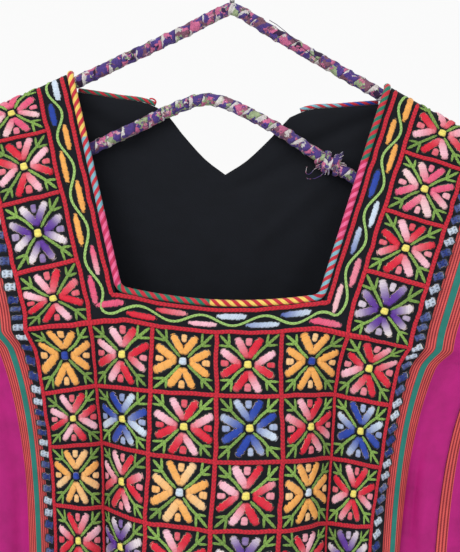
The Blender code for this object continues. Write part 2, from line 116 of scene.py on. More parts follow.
HANG_STRAIGHT = -0.36
LEVELLED = 0.7
LEVEL_REACH = 1.0
TURN_BACK = 0.022
TURN_BACK_START = 0.045
TURN_BACK_BLEND = 0.055
BACK_TURN = 0.011
BACK_TURN_START = 0.140
BACK_TURN_BLEND = 0.080
SKIRT_TOP = 0.45
SKIRT_FOLD_GROWTH = 0.50
FRONT_ROPE = 0.0028
FRONT_ROPE_LIFT = 0.0012
BACK_ROPE = 0.0018
BACK_ROPE_LIFT = 0.0004
CHEST_TOP = NECK_DEPTH + FRONT_ROPE + SEAM_GAP
GORE_WAVES = 3
ARMHOLE_SHARE = 0.78
ARMHOLE_BLEND = 2.5
SLEEVE_FOLD = 0.30
SLEEVE_FOLD_FULL = 4
SLEEVE_FOLD_PLACE = 0.15
SLEEVE_FOLD_WIDTH = 0.35
SLIT_CORNER = 0.473

BAR = (
    ("x", "z"),
    (-0.1190, -0.1914),
    (-0.0750, -0.1700),
    (-0.0450, -0.1550),
    (-0.0260, -0.1490),
    (-0.0086, -0.1505),
    (0.0110, -0.1594),
    (0.0305, -0.1690),
    (0.0500, -0.1810),
    (0.0760, -0.1975),
    (0.1000, -0.2117),
)
DEPTH = (
    ("down", "front", "back"),
    (0.000, 0.0073, 0.0073),
    (0.020, 0.0085, 0.0080),
    (0.090, 0.0160, 0.0120),
    (0.182, 0.0260, 0.0180),
    (0.300, 0.0360, 0.0250),
    (0.450, 0.0420, 0.0310),
    (0.900, 0.0500, 0.0390),
    (1.320, 0.0560, 0.0450),
)
FRONT_FOLDS = (
    ("across", "half_width", "depth"),
    (-0.1010, 0.0140, 0.0130),
    (0.1010, 0.0150, 0.0110),
    (-0.1920, 0.0100, 0.0060),
    (0.1900, 0.0090, 0.0075),
)
BACK_FOLDS = (
    ("across", "half_width", "depth"),
    (-0.1600, 0.0220, 0.0100),
    (0.0060, 0.0260, 0.0110),
    (0.1480, 0.0200, 0.0120),
)
BACK_NECK = (
    ("share", "drop"),
    (0.000, 0.0815),
    (0.155, 0.0690),
    (0.297, 0.0510),
    (0.473, 0.0250),
    (0.750, 0.0185),
    (1.000, 0.0145),
)
GORE = (
    ("down", "reach", "fold"),
    (0.2455, 0.030, 0.0000),
    (0.3400, 0.041, 0.0015),
    (0.4500, 0.048, 0.0035),
    (0.6500, 0.060, 0.0065),
    (1.0000, 0.082, 0.0110),
    (1.3200, 0.100, 0.0140),
)
SLEEVE = (
    ("section", "inner_x", "inner_z", "outer_x", "outer_z", "half_depth"),
    (0, 0.2290, -0.3730, 0.2605, -0.2200, 0.0120),
    (1, 0.2390, -0.3715, 0.2830, -0.2340, 0.0135),
    (2, 0.2490, -0.3790, 0.3100, -0.2620, 0.0170),
    (3, 0.2560, -0.3990, 0.3380, -0.3090, 0.0215),
    (4, 0.2615, -0.4380, 0.3625, -0.3800, 0.0255),
    (5, 0.2640, -0.4950, 0.3790, -0.4680, 0.0280),
    (6, 0.2680, -0.5700, 0.3880, -0.5600, 0.0290),
    (7, 0.2710, -0.6500, 0.3930, -0.6470, 0.0300),
    (8, 0.2730, -0.7350, 0.3960, -0.7350, 0.0310),
)

# Small creases, each a soft trough: where its middle lies, how long and wide it is,
# how far it leans from upright and how deep it is; a ridge has a negative depth.
FRONT_CREASES = (
    ("across", "down", "half_length", "half_width", "lean", "depth"),
    (-0.052, 0.640, 0.150, 0.0080, 4.0, 0.0022),
    (0.030, 0.720, 0.210, 0.0100, -3.0, 0.0026),
    (-0.020, 0.980, 0.260, 0.0120, 2.0, 0.0030),
    (0.062, 1.120, 0.180, 0.0100, -5.0, 0.0028),
    (-0.150, 0.820, 0.240, 0.0090, 3.0, 0.0025),
    (0.150, 0.900, 0.300, 0.0110, -2.0, 0.0026),
    (-0.200, 0.420, 0.110, 0.0060, -9.0, 0.0016),
    (0.202, 0.410, 0.120, 0.0060, 9.0, 0.0016),
    (0.188, 0.372, 0.060, 0.0036, -3.0, 0.0045),
    (0.010, 1.240, 0.070, 0.0090, 12.0, 0.0016),
    (-0.110, 1.180, 0.110, 0.0110, -6.0, 0.0020),
)
BACK_CREASES = (
    ("across", "down", "half_length", "half_width", "lean", "depth"),
    (-0.055, 0.150, 0.075, 0.0090, 10.0, 0.0016),
    (0.052, 0.165, 0.085, 0.0100, -13.0, 0.0018),
    (-0.014, 0.190, 0.060, 0.0060, 3.0, 0.0013),
    (0.016, 0.220, 0.080, 0.0070, -4.0, 0.0012),
    (-0.095, 0.210, 0.090, 0.0110, 16.0, 0.0018),
    (0.100, 0.190, 0.070, 0.0090, -18.0, 0.0016),
    (-0.060, 0.520, 0.190, 0.0110, 2.0, 0.0028),
    (0.075, 0.600, 0.240, 0.0120, -3.0, 0.0030),
    (-0.120, 0.950, 0.280, 0.0120, 2.0, 0.0028),
    (0.040, 1.060, 0.230, 0.0110, -2.0, 0.0026),
    (-0.030, 0.860, 0.150, 0.0090, 5.0, 0.0020),
    (-0.060, 0.046, 0.018, 0.0075, 40.0, -0.0045),
    (0.053, 0.046, 0.018, 0.0075, -44.0, -0.0050),
    (0.030, 0.076, 0.018, 0.0080, -50.0, -0.0035),
    (0.048, 0.100, 0.040, 0.0060, -30.0, 0.0024),
)
GORE_CREASES = (
    ("across", "down", "half_length", "half_width", "lean", "depth"),
    (0.30, 0.420, 0.090, 0.0500, 8.0, 0.0016),
    (0.55, 0.600, 0.150, 0.0500, -4.0, 0.0020),
    (0.20, 0.820, 0.180, 0.0450, 3.0, 0.0022),
    (0.70, 0.900, 0.210, 0.0500, -3.0, 0.0022),
    (0.45, 1.150, 0.140, 0.0450, 4.0, 0.0020),
)
SLEEVE_CREASES = (
    ("turn", "section", "half_turn", "half_sections", "depth"),
    (0.40, 1.6, 0.030, 1.6, 0.0018),
    (0.30, 2.6, 0.022, 1.8, 0.0020),
    (0.22, 3.4, 0.030, 1.4, 0.0016),
    (0.36, 4.6, 0.018, 1.2, 0.0016),
    (0.62, 2.0, 0.028, 1.8, 0.0018),
    (0.72, 3.2, 0.024, 1.9, 0.0020),
    (0.82, 4.4, 0.030, 1.5, 0.0016),
    (0.12, 5.8, 0.024, 1.6, 0.0018),
    (0.27, 6.6, 0.020, 1.5, 0.0016),
    (0.68, 6.4, 0.022, 1.8, 0.0018),
    (0.90, 7.0, 0.026, 1.2, 0.0014),
)


def ease(value):
    value = np.clip(value, 0.0, 1.0)
    return value * value * (3 - 2 * value)


def ease_area(value):
    inside = np.clip(value, 0.0, 1.0)
    return np.where(value >= 1, value - 0.5, inside ** 3 - inside ** 4 / 2)


def read_table(table, place, name):
    """Read a named column on a smooth curve through a table's rows, at one place or many."""
    rows = np.array(table[1:], dtype=float)
    places, values = rows[:, 0], rows[:, table[0].index(name)]
    last = len(places) - 1
    slopes = np.empty(last + 1)
    for i in range(last + 1):
        before, after = max(i - 1, 0), min(i + 1, last)
        slopes[i] = (values[after] - values[before]) / (places[after] - places[before])
    place = np.clip(np.asarray(place, dtype=float), places[0], places[-1])
    row = np.clip(np.searchsorted(places, place, side="right") - 1, 0, last - 1)
    span = places[row + 1] - places[row]
    share = (place - places[row]) / span
    rise = 3 * share ** 2 - 2 * share ** 3
    leave = share ** 3 - 2 * share ** 2 + share
    arrive = share ** 3 - share ** 2
    bends = span * (slopes[row] * leave + slopes[row + 1] * arrive)
    return values[row] + (values[row + 1] - values[row]) * rise + bends


def tilt(x, y, z):
    """Hang points from the tilted hanger, the right side lower; further down they hang plumb."""
    x, y, z = np.broadcast_arrays(x, y, z)
    level = 1 - LEVELLED * ease((HANG_STRAIGHT - z) / LEVEL_REACH)
    return np.stack((x + TILT * np.maximum(z, HANG_STRAIGHT), y, z - TILT * x * level), axis=-1)


def arm_z(x):
    return ARM_PEAK_Z - math.tan(ARM_SLOPE) * abs(x)


def neck_line(down):
    """Place and lean of the line beside the neck, which spreads outwards to the shoulder."""
    radius = BEND_LENGTH / NECK_LEAN
    straight = BEND_BOTTOM - BEND_LENGTH
    top_x = NECK_HALF + radius * (1 - math.cos(NECK_LEAN)) + straight * math.sin(NECK_LEAN)
    top_z = arm_z(top_x) + SHOULDER_LIFT / math.cos(ARM_SLOPE)
    bend_z = top_z - radius * math.sin(NECK_LEAN) - straight * math.cos(NECK_LEAN)
    height = BEND_BOTTOM - down
    bent = np.clip(height, 0.0, BEND_LENGTH)
    past = np.maximum(height - BEND_LENGTH, 0.0)
    angle = NECK_LEAN * bent / BEND_LENGTH
    x = NECK_HALF + radius * (1 - np.cos(angle)) + past * math.sin(NECK_LEAN)
    z = bend_z + radius * np.sin(angle) + past * math.cos(NECK_LEAN) + np.minimum(height, 0.0)
    return x, z, angle


def drawn(down):
    return 1 - np.exp(-np.maximum(down - GRID_TOP, 0.0) / DRAW_REACH)


def lay(across, down):
    """Place on the front view of points of the flat layout, for the front and back alike."""
    out = np.abs(across)
    x, z, angle = neck_line(down)
    beside = np.maximum(out - NECK_HALF, 0.0)
    x = np.where(out < NECK_HALF, x * out / NECK_HALF, x + beside * np.cos(angle))
    z = z - beside * np.sin(angle)
    x = x - DRAWN_IN * drawn(down) * DRAW_BLEND * ease_area((out - DRAW_START) / DRAW_BLEND)
    beyond = np.maximum(out - DROOP_START, 0.0) / (BODY_HALF - DROOP_START)
    z = z - DROOP * beyond ** 2 * (1 - ease(down / BEND_BOTTOM))
    return np.where(across < 0, -x, x), z


def shoulder_cut(across):
    return np.maximum(np.abs(across) - NECK_HALF, 0.0) * SHOULDER_CUT


def turn_over(across, down):
    """Where the cloth lies in its turn over the arm: its depth there and its height on the cloth."""
    start = shoulder_cut(across)
    run = np.maximum(down - start, 0.0)
    angle = np.minimum(run / SHOULDER_TURN, math.pi / 2)
    past = np.maximum(run - SHOULDER_TURN * math.pi / 2, 0.0)
    depth = SHOULDER_TURN * np.sin(angle) + SEAM_GAP / 2
    return depth, start + SHOULDER_TURN * (1 - np.cos(angle)) + past, past


def fold_depth(folds, across):
    return sum(depth * np.exp(-((across - place) / width) ** 2) for place, width, depth in folds[1:])


def fold_growth(down):
    return drawn(down) * (1 + SKIRT_FOLD_GROWTH * ease((down - SKIRT_TOP) / (HEM - SKIRT_TOP)))


def front(across, down):
    """Outer side of the front."""
    across, down = np.broadcast_arrays(np.asarray(across, float), np.asarray(down, float))
    depth, level, past = turn_over(across, down)
    x, z = lay(across, level)
    fullness = read_table(DEPTH, past, "front") - SHOULDER_TURN
    turned = TURN_BACK * ease((np.abs(across) - TURN_BACK_START) / TURN_BACK_BLEND) * drawn(down)
    y = -depth - fullness + turned + fold_depth(FRONT_FOLDS, across) * fold_growth(down)
    sag = NECK_SAG * (1 - np.minimum(np.abs(across) / NECK_HALF, 1.0) ** 2)
    z = z - sag * np.exp(-np.maximum(down - CHEST_TOP, 0.0) / NECK_SAG_REACH)
    return tilt(x, y, z)


def back(across, down):
    """Outer side of the back."""
    across, down = np.broadcast_arrays(np.asarray(across, float), np.asarray(down, float))
    depth, level, past = turn_over(across, down)
    x, z = lay(across, level)
    fullness = read_table(DEPTH, past, "back") - SHOULDER_TURN
    turned = BACK_TURN * ease((np.abs(across) - BACK_TURN_START) / BACK_TURN_BLEND) * drawn(down)
    y = depth + fullness - turned - fold_depth(BACK_FOLDS, across) * fold_growth(down)
    return tilt(x, y, z)


def gore(side, share, down):
    """Outer side of a gore, from its seam with the front (share 0) to its seam with the back."""
    share, down = np.broadcast_arrays(np.asarray(share, float), np.asarray(down, float))
    start = front(np.full(down.shape, side * BODY_HALF), down)
    end = back(np.full(down.shape, side * BODY_HALF), down)
    angle = math.pi * share
    middle = start + (end - start) * ((1 - np.cos(angle)) / 2)[..., None]
    wave = read_table(GORE, down, "fold") * np.sin(2 * GORE_WAVES * angle) * np.sin(angle)
    reach = SEAM_GAP + (read_table(GORE, down, "reach") + wave) * np.sin(angle)
    return np.stack((middle[..., 0] + side * reach, middle[..., 1] - wave * np.cos(angle),
                     middle[..., 2]), -1)


def unit(vectors):
    return vectors / np.maximum(np.linalg.norm(vectors, axis=-1, keepdims=True), 1e-12)


def outward(surface, a, b, sign):
    """Unit normals of a surface function, turned outwards by the sign."""
    step = 0.0002
    along_a = surface(a + step, b) - surface(a - step, b)
    along_b = surface(a, b + step) - surface(a, b - step)
    return unit(np.cross(along_a, along_b) * sign)


def crease_depth(creases, across, down, scale=1.0):
    """Depth of the hand-placed creases at points of a piece's flat layout."""
    total = np.zeros(np.broadcast(across, down).shape)
    for place, middle, half_length, half_width, lean, depth in creases[1:]:
        turned = math.tan(math.radians(lean)) / scale
        off = across - place - (down - middle) * turned
        along = (down - middle) / half_length
        total += depth * np.exp(-(off / half_width) ** 2 - along ** 4)
    return total


def sleeve_oval(side, section, turn):
    inner_x, inner_z, outer_x, outer_z, depth = (read_table(SLEEVE, section, name) for name in SLEEVE[0][1:])
    angle = 2 * math.pi * turn
    swing = np.cos(angle)
    grown = np.clip(section / SLEEVE_FOLD_FULL, 0.0, 1.0)
    fold = 1 - SLEEVE_FOLD * grown * np.exp(-((swing - SLEEVE_FOLD_PLACE) / SLEEVE_FOLD_WIDTH) ** 2)
    x = (outer_x + inner_x) / 2 + (outer_x - inner_x) / 2 * swing
    z = (outer_z + inner_z) / 2 + (outer_z - inner_z) / 2 * swing
    return tilt(side * x, -depth * fold * np.sin(angle), z)


def armhole(side, turn):
    """The armhole's outline: down the front's edge, round the gore's top and up the back's edge."""
    half = ARMHOLE_SHARE / 2
    out = np.full(turn.shape, side * BODY_HALF)
    top = float(shoulder_cut(BODY_HALF))
    ahead = top + (UNDERARM - top) * np.clip(turn / half, 0, 1)
    behind = top + (UNDERARM - top) * np.clip((1 - turn) / half, 0, 1)
    part = np.clip((turn - half) / (1 - ARMHOLE_SHARE), 0, 1)
    under = gore(side, part, np.full(turn.shape, UNDERARM))
    place = np.where((turn < half)[..., None], front(out, ahead), under)
    return np.where((turn > 1 - half)[..., None], back(out, behind), place)


def sleeve(side, section, turn):
    """Outer side of a sleeve, drawn to the armhole's shape at the top."""
    turn, section = np.broadcast_arrays(turn, section)
    turn = turn % 1.0
    start = armhole(side, turn)
    start = start + np.stack((np.full(turn.shape, side * SLEEVE_GAP), np.zeros(turn.shape),
                              -SLEEVE_GAP * np.cos(2 * math.pi * turn)), -1)
    share = 1 - ease(section / ARMHOLE_BLEND)
    off = start - sleeve_oval(side, np.zeros(turn.shape), turn)
    return sleeve_oval(side, section, turn) + off * share[..., None]


def linear(colour):
    """A colour given 0 to 255 a channel, as the values that a shader takes."""
    values = []
    for channel in colour:
        level = channel / 255
        values.append(level / 12.92 if level <= 0.04045 else ((level + 0.055) / 1.055) ** 2.4)
    return tuple(values)


def colour_property(name, description, colour):
    return bpy.props.FloatVectorProperty(name=name, description=description, default=linear(colour),
                                         size=3, min=0.0, max=1.0, subtype="COLOR")


def number_property(name, description, value, **more):
    return bpy.props.FloatProperty(name=name, description=description, default=value, **more)


def length_property(name, description, value):
    return number_property(name, description, value, unit="LENGTH")


class ClothColours(bpy.types.PropertyGroup):
    """Colours of the cloths."""
    black: colour_property("Black cotton", "The panel's and the body's plain cotton", (15, 18, 25))
    coral: colour_property("Coral", "The chain-lined bands of the striped cloth", (214, 88, 84))
    coral_dark: colour_property("Dark coral", "The ground between a band's chains", (128, 30, 42))
    teal: colour_property("Teal", "The plain line between two bands", (36, 118, 108))
    magenta: colour_property("Magenta", "The ground of the striped cloth", (172, 24, 116))


class ThreadColours(bpy.types.PropertyGroup):
    """Colours of the threads; a shaded thread runs from its deep to its pale colour."""
    red: colour_property("Red", "Cords of the grid", (204, 30, 52))
    green: colour_property("Green", "Stems of the flowers", (140, 180, 86))
    vine: colour_property("Vine", "The vine round the neck", (168, 210, 118))
    yellow: colour_property("Yellow", "Centres of the flowers", (255, 238, 116))
    cream: colour_property("Cream", "Couched line inside the petals' edge", (240, 216, 180))
    red_deep: colour_property("Deep red", "Shaded red thread", (224, 24, 54))
    red_pale: colour_property("Pale pink", "Shaded red thread", (255, 198, 214))
    pink_deep: colour_property("Deep pink", "Shaded pink thread", (236, 88, 128))
    pink_pale: colour_property("Palest pink", "Shaded pink thread", (252, 214, 218))
    orange_deep: colour_property("Orange", "Shaded orange thread", (253, 178, 88))
    orange_pale: colour_property("Peach", "Shaded orange thread", (254, 214, 160))
    blue_deep: colour_property("Deep blue", "Shaded blue thread", (30, 66, 170))
    blue_pale: colour_property("Pale blue", "Shaded blue thread", (216, 232, 248))
    purple_deep: colour_property("Purple", "Shaded purple thread", (92, 46, 152))
    purple_pale: colour_property("Purple white", "Shaded purple thread", (242, 230, 234))
    edge_blue: colour_property("Light blue", "Stripes of the neck edging", (128, 188, 204))
    edge_green: colour_property("Teal green", "Stripes of the neck edging", (18, 122, 96))
    edge_pink: colour_property("Pink", "Stripes of the neck edging", (244, 104, 156))
    edge_rose: colour_property("Rose", "Stripes of the neck edging", (206, 34, 92))
    edge_gold: colour_property("Gold", "Stripes of the neck edging", (253, 216, 104))


class StitchSizes(bpy.types.PropertyGroup):
    """Sizes of the stitches."""
    petal_length: length_property("Petal length", "Length of a petal", 20.2 * MM)
    petal_width: length_property("Petal width", "Width of a petal", 8.8 * MM)
    petal_height: length_property("Petal height", "How far a petal stands above the cloth", 1.6 * MM)
    bud_length: length_property("Bud length", "Length of the bud between two petals", 7.2 * MM)
    bud_width: length_property("Bud width", "Width of a bud", 7.0 * MM)
    centre: length_property("Centre", "Side of a flower's centre", 6.6 * MM)
    cord_width: length_property("Cord width", "Width of a red cord", 3.8 * MM)
    cord_height: length_property("Cord height", "Height of a red cord", 1.7 * MM)
    stem_width: length_property("Stem width", "Width of a green stem", 2.6 * MM)
    stem_height: length_property("Stem height", "Height of a green stem", 1.2 * MM)
    bar_length: length_property("Bar length", "Length of a bar beside the panel", 11.6 * MM)
    bar_width: length_property("Bar width", "Width of a bar", 7.0 * MM)
    bar_pitch: length_property("Bar pitch", "From one bar to the next", 10.0 * MM)


class HangerFinish(bpy.types.PropertyGroup):
    """The strips wound on the hanger."""
    strip: length_property("Strip", "Advance of the winding at each turn", 12 * MM)
    proud: length_property("Overlap", "How far a strip's edge stands above the strip below", 0.9 * MM)
    purple: colour_property("Purple", "Ground of the printed strips", (84, 62, 140))
    pink: colour_property("Pink", "Flowers of the print", (214, 112, 154))
    blush: colour_property("Blush", "Pale petals of the print", (232, 172, 190))
    sage: colour_property("Sage", "Leaves of the print", (166, 184, 140))
    white: colour_property("White", "Pale ground and frayed threads", (230, 226, 222))
    mauve: colour_property("Mauve", "Brownish shades of the print", (134, 88, 108))
    plum: colour_property("Plum", "Dark specks of the print", (52, 26, 66))
    wire: colour_property("Wire", "Bare wire of the hook", (172, 172, 168))


class StageSettings(bpy.types.PropertyGroup):
    """Camera, light and floor."""
    camera: bpy.props.FloatVectorProperty(name="Camera", description="Place of the camera", size=3,
                                          default=(-0.0015, -0.885, -0.292), subtype="TRANSLATION",
                                          unit="LENGTH")
    roll: number_property("Roll", "How far the camera leans to its side", math.radians(-0.6), subtype="ANGLE")
    lens: number_property("Lens", "Focal length in millimetres", 71.0)
    floor_drop: length_property("Floor drop", "How far the floor lies below the hem", 0.105)
    key: number_property("Key", "Power of the main soft light", 26.0, unit="POWER")
    fill: number_property("Fill", "Power of the fill light", 7.0, unit="POWER")
    world: number_property("World", "Light of the white surroundings", 0.60)
    seen: number_property("Background", "Brightness of the surroundings as seen", 0.96)


def group_property(kind, name):
    return bpy.props.PointerProperty(type=kind, name=name, description=kind.__doc__.rstrip("."))


class Thobe(bpy.types.PropertyGroup):
    """All the settings of the dress and its stage."""
    cloth: group_property(ClothColours, "Cloth")
    thread: group_property(ThreadColours, "Thread")
    stitch: group_property(StitchSizes, "Stitches")
    hanger: group_property(HangerFinish, "Hanger")
    stage: group_property(StageSettings, "Stage")


def thobe():
    return bpy.context.scene.thobe


# The looks of the cloths and threads. A noise's scale is its spots a metre, and a tone is a share of
# the colour's brightness.
FUZZ_SCALE = 900.0
SLUB_SCALE = 55.0
SLUB_TONE = 0.7
# Painted shade where the weave's threads dip under one another, as a share of the tone.
WEAVE_SHADE = 0.10
WEAVE_THREAD = 0.55 * MM
CHAIN_LEVEL = 0.62
CHAIN_CONTRAST = 0.8
CHAIN_TWIST = 0.16
COTTON_ROUGHNESS = 0.86
STRIPE_GLOSS = 0.28
# Satin threads: a tone that differs at random from one thread to the next, and painted shade in the valleys
# between threads.
THREAD_DARKEST = 0.74
THREAD_VARIES = 0.20
THREAD_VALLEY_SHADE = 0.26
THREAD_PITCH = 0.95 * MM
THREAD_GLOSS = 0.42
END_PITCH = 1.7
# Each satin thread ends a little before or past its neighbours, as shares of the pad's slope.
END_CENTRE = 0.36
END_SPREAD = 2.6
END_FIRST = 0.06
END_LAST = 0.74
COUCHED_WIDTH = 0.22
COUCHED_PATCH_SCALE = 120.0
COUCHED_FROM = 0.50
# A chain stitch's link leans back to both edges of its cord and has finer strands in it.
LINK_LEAN = 1.6
LINK_STRAND = 0.31
LINK_STRAND_HEIGHT = 0.25
# The links are painted darker in the valleys between them and along the cord's middle groove, and lighter
# towards its raised sides: painted shade.
LINK_DARKEST = 0.56
LINK_VALLEY_SHADE = 0.54
CORD_EDGE_SLOPE = 7.0
CORD_GROOVE_SHADE = 0.84
CORD_SIDE_LIGHT = 0.24
CORD_FRAY_SLOPE = 4.0

# The striped cloth: a band holds two coral stripes and the teal line between them.
STRIPE_BAND = 23.0 * MM
STRIPE_TEAL = 5.4 * MM
STRIPE_CHAIN = 2.2 * MM
STRIPE_LINK = 2.0 * MM
BODY_STRIPE_PERIOD = 58.0 * MM
WIDE_STRIPE_PERIOD = 82.0 * MM

NUMBER, VECTOR, COLOUR = "NodeSocketFloat", "NodeSocketVector", "NodeSocketColor"


def feed(tree, socket, value):
    """Give a socket a link, a number, a vector or a colour; None leaves it as it is."""
    if isinstance(value, bpy.types.NodeSocket):
        tree.links.new(value, socket)
    elif isinstance(value, (int, float)):
        socket.default_value = value
    elif value is not None:
        socket.default_value = value if socket.type == "VECTOR" else (*value, 1.0)


def add(tree, kind, *values, **settings):
    """Add a node with its settings; each value goes to the input of its place."""
    made = tree.nodes.new(kind)
    for name, value in settings.items():
        setattr(made, name, value)
    for socket, value in zip(made.inputs, values):
        feed(tree, socket, value)
    return made


def calc(tree, operation, a, b=None, c=None):
    return add(tree, "ShaderNodeMath", a, b, c, operation=operation).outputs[0]


def times_plus(tree, value, factor, offset):
    return calc(tree, "MULTIPLY_ADD", value, factor, offset)


def soft_limit(tree, value, factor):
    """A value times a factor, flattened softly towards 1."""
    return calc(tree, "SMOOTH_MIN", calc(tree, "MULTIPLY", value, factor), 1.0, 0.3)


def noise(tree, place, scale, *detail):
    return add(tree, "ShaderNodeTexNoise", place, None, scale, *detail).outputs[0]


def mapped(tree, name):
    """The parts of a place on one of the mesh's own maps."""
    return add(tree, "ShaderNodeSeparateXYZ", add(tree, "ShaderNodeUVMap", uv_map=name).outputs[0]).outputs


def painted(tree, name="dye"):
    return add(tree, "ShaderNodeAttribute", attribute_name=name).outputs


def object_place(tree):
    return add(tree, "ShaderNodeTexCoord").outputs["Object"]


def mix(tree, share, a, b):
    made = add(tree, "ShaderNodeMix", share, data_type="RGBA")
    feed(tree, made.inputs[6], a)
    feed(tree, made.inputs[7], b)
    return made.outputs[2]


def new_group(name, inputs, outputs):
    """A node group with its named inputs and outputs; returns the tree, its inputs and its end."""
    tree = bpy.data.node_groups.new(name, "ShaderNodeTree")
    for way, sockets in (("INPUT", inputs), ("OUTPUT", outputs)):
        for label, kind in sockets:
            tree.interface.new_socket(label, in_out=way, socket_type=kind)
    return tree, tree.nodes.new("NodeGroupInput").outputs, tree.nodes.new("NodeGroupOutput").inputs


def plain_weave_group():
    """Threads over and under each other, with uneven threads, a soft unevenness of the dye and painted shade
    where the threads dip under.
    """
    tree, given, end = new_group("Plain Weave", (("Place", VECTOR), ("Thread", NUMBER)),
                                 (("Height", NUMBER), ("Tone", NUMBER)))
    parts = add(tree, "ShaderNodeSeparateXYZ", given["Place"]).outputs
    waves = []
    for axis in (0, 1):
        turns = calc(tree, "DIVIDE", parts[axis], given["Thread"])
        waves.append(calc(tree, "SINE", calc(tree, "MULTIPLY", turns, math.pi)))
    over = calc(tree, "MULTIPLY", *waves)
    feed(tree, end[0], times_plus(tree, over, 0.5, noise(tree, given["Place"], FUZZ_SCALE, 2.0)))
    slubs = noise(tree, given["Place"], SLUB_SCALE, 5.0, 0.6)
    tone = times_plus(tree, slubs, SLUB_TONE, 1 - SLUB_TONE / 2)
    # The tone is the dye's slubs plus painted shade where the threads dip under.
    feed(tree, end[1], times_plus(tree, over, WEAVE_SHADE, tone))
    return tree


def woven_stripes_group(colours):
    """Magenta cloth with bands of coral chain lines on both sides of a plain teal line."""
    tree, given, end = new_group("Woven Stripes", (("Across", NUMBER), ("Along", NUMBER), ("Period", NUMBER)),
                                 (("Color", COLOUR), ("Height", NUMBER)))
    place = calc(tree, "FLOORED_MODULO", given["Across"], given["Period"])
    band = calc(tree, "LESS_THAN", place, STRIPE_BAND)
    teal = calc(tree, "COMPARE", place, STRIPE_BAND / 2, STRIPE_TEAL / 2)
    across = calc(tree, "MULTIPLY", place, 2 * math.pi / STRIPE_CHAIN)
    along = calc(tree, "MULTIPLY", given["Along"], 2 * math.pi / STRIPE_LINK)
    twist = calc(tree, "SINE", times_plus(tree, across, 0.5, along))
    chain = times_plus(tree, calc(tree, "COSINE", across), -CHAIN_CONTRAST, CHAIN_LEVEL)
    chain = times_plus(tree, twist, CHAIN_TWIST, chain)
    chain.node.use_clamp = True
    ground = mix(tree, band, colours.magenta, mix(tree, chain, colours.coral_dark, colours.coral))
    feed(tree, end[0], mix(tree, teal, ground, colours.teal))
    plain = calc(tree, "SUBTRACT", band, teal)
    plain.node.use_clamp = True
    feed(tree, end[1], calc(tree, "MULTIPLY", chain, plain))
    return tree


def thread_lines_group():
    """Threads laid side by side: their rounded height, and a tone that changes at random from one to the
    next, with painted shade in the valleys between them.
    """
    tree, given, end = new_group("Thread Lines", (("Along", NUMBER), ("Pitch", NUMBER)),
                                 (("Height", NUMBER), ("Tone", NUMBER), ("Chance", NUMBER)))
    count = calc(tree, "DIVIDE", given["Along"], given["Pitch"])
    height = calc(tree, "ABSOLUTE", calc(tree, "SINE", calc(tree, "MULTIPLY", count, math.pi)))
    chance = add(tree, "ShaderNodeTexWhiteNoise", noise_dimensions="1D")
    feed(tree, chance.inputs["W"], calc(tree, "FLOOR", count))
    tone = times_plus(tree, chance.outputs[0], THREAD_VARIES, THREAD_DARKEST)
    # The tone is each thread's random tone plus painted shade in the valleys between threads.
    for socket, value in zip(end, (height, times_plus(tree, height, THREAD_VALLEY_SHADE, tone), chance.outputs[0])):
        feed(tree, socket, value)
    return tree


def ragged_edge_group():
    """Stitches whose threads end unevenly over the dark ground, with a pale line couched along them."""
    tree, given, end = new_group("Ragged Edge", (("Color", COLOUR), ("Inside", NUMBER), ("Chance", NUMBER),
                                                 ("Ground", COLOUR), ("Outline", COLOUR), ("Lined", NUMBER)),
                                 (("Color", COLOUR), ("Thread", NUMBER)))
    uneven = calc(tree, "MULTIPLY", calc(tree, "SUBTRACT", given["Chance"], END_CENTRE), END_SPREAD)
    reach = calc(tree, "MINIMUM", calc(tree, "MAXIMUM", uneven, END_FIRST), END_LAST)
    thread = calc(tree, "GREATER_THAN", given["Inside"], reach)
    near = calc(tree, "LESS_THAN", given["Inside"], calc(tree, "ADD", reach, COUCHED_WIDTH))
    patches = noise(tree, object_place(tree), COUCHED_PATCH_SCALE, 1.0)
    lined = calc(tree, "MULTIPLY", calc(tree, "GREATER_THAN", patches, COUCHED_FROM), given["Lined"])
    colour = mix(tree, calc(tree, "MULTIPLY", near, lined), given["Color"], given["Outline"])
    feed(tree, end[0], mix(tree, thread, given["Ground"], colour))
    feed(tree, end[1], thread)
    return tree


def group_node(tree, name, build, *values):
    """A node of a shared group, which the first use builds."""
    group = bpy.data.node_groups.get(name) or build()
    return add(tree, "ShaderNodeGroup", *values, node_tree=group).outputs


def weave(tree, place, thread):
    return group_node(tree, "Plain Weave", plain_weave_group, place, thread)


def thread_lines(tree, along, pitch):
    return group_node(tree, "Thread Lines", thread_lines_group, along, pitch)


def ragged_edge(tree, colour, inside, chance, lined):
    return group_node(tree, "Ragged Edge", ragged_edge_group, colour, inside, chance,
                      thobe().cloth.black, thobe().thread.cream, lined)


def new_material(name, roughness, **constants):
    """A material with a bare Principled BSDF, its constant values set on the shader's own sockets."""
    made = bpy.data.materials.new(name)
    made.use_nodes = True
    shader = made.node_tree.nodes["Principled BSDF"]
    shader.inputs["Roughness"].default_value = roughness
    for label, value in constants.items():
        shader.inputs[label.replace("_", " ")].default_value = value
    return made, made.node_tree, shader


def bump(tree, shader, height, distance, strength=1.0):
    made = tree.nodes.new("ShaderNodeBump")
    for label, value in (("Strength", strength), ("Distance", distance), ("Height", height)):
        feed(tree, made.inputs[label], value)
    feed(tree, shader.inputs["Normal"], made.outputs[0])


def shade_by(tree, colour, tone):
    """A colour made lighter or darker by a tone."""
    scaled = add(tree, "ShaderNodeVectorMath", colour, operation="SCALE")
    feed(tree, scaled.inputs["Scale"], tone)
    return scaled.outputs[0]


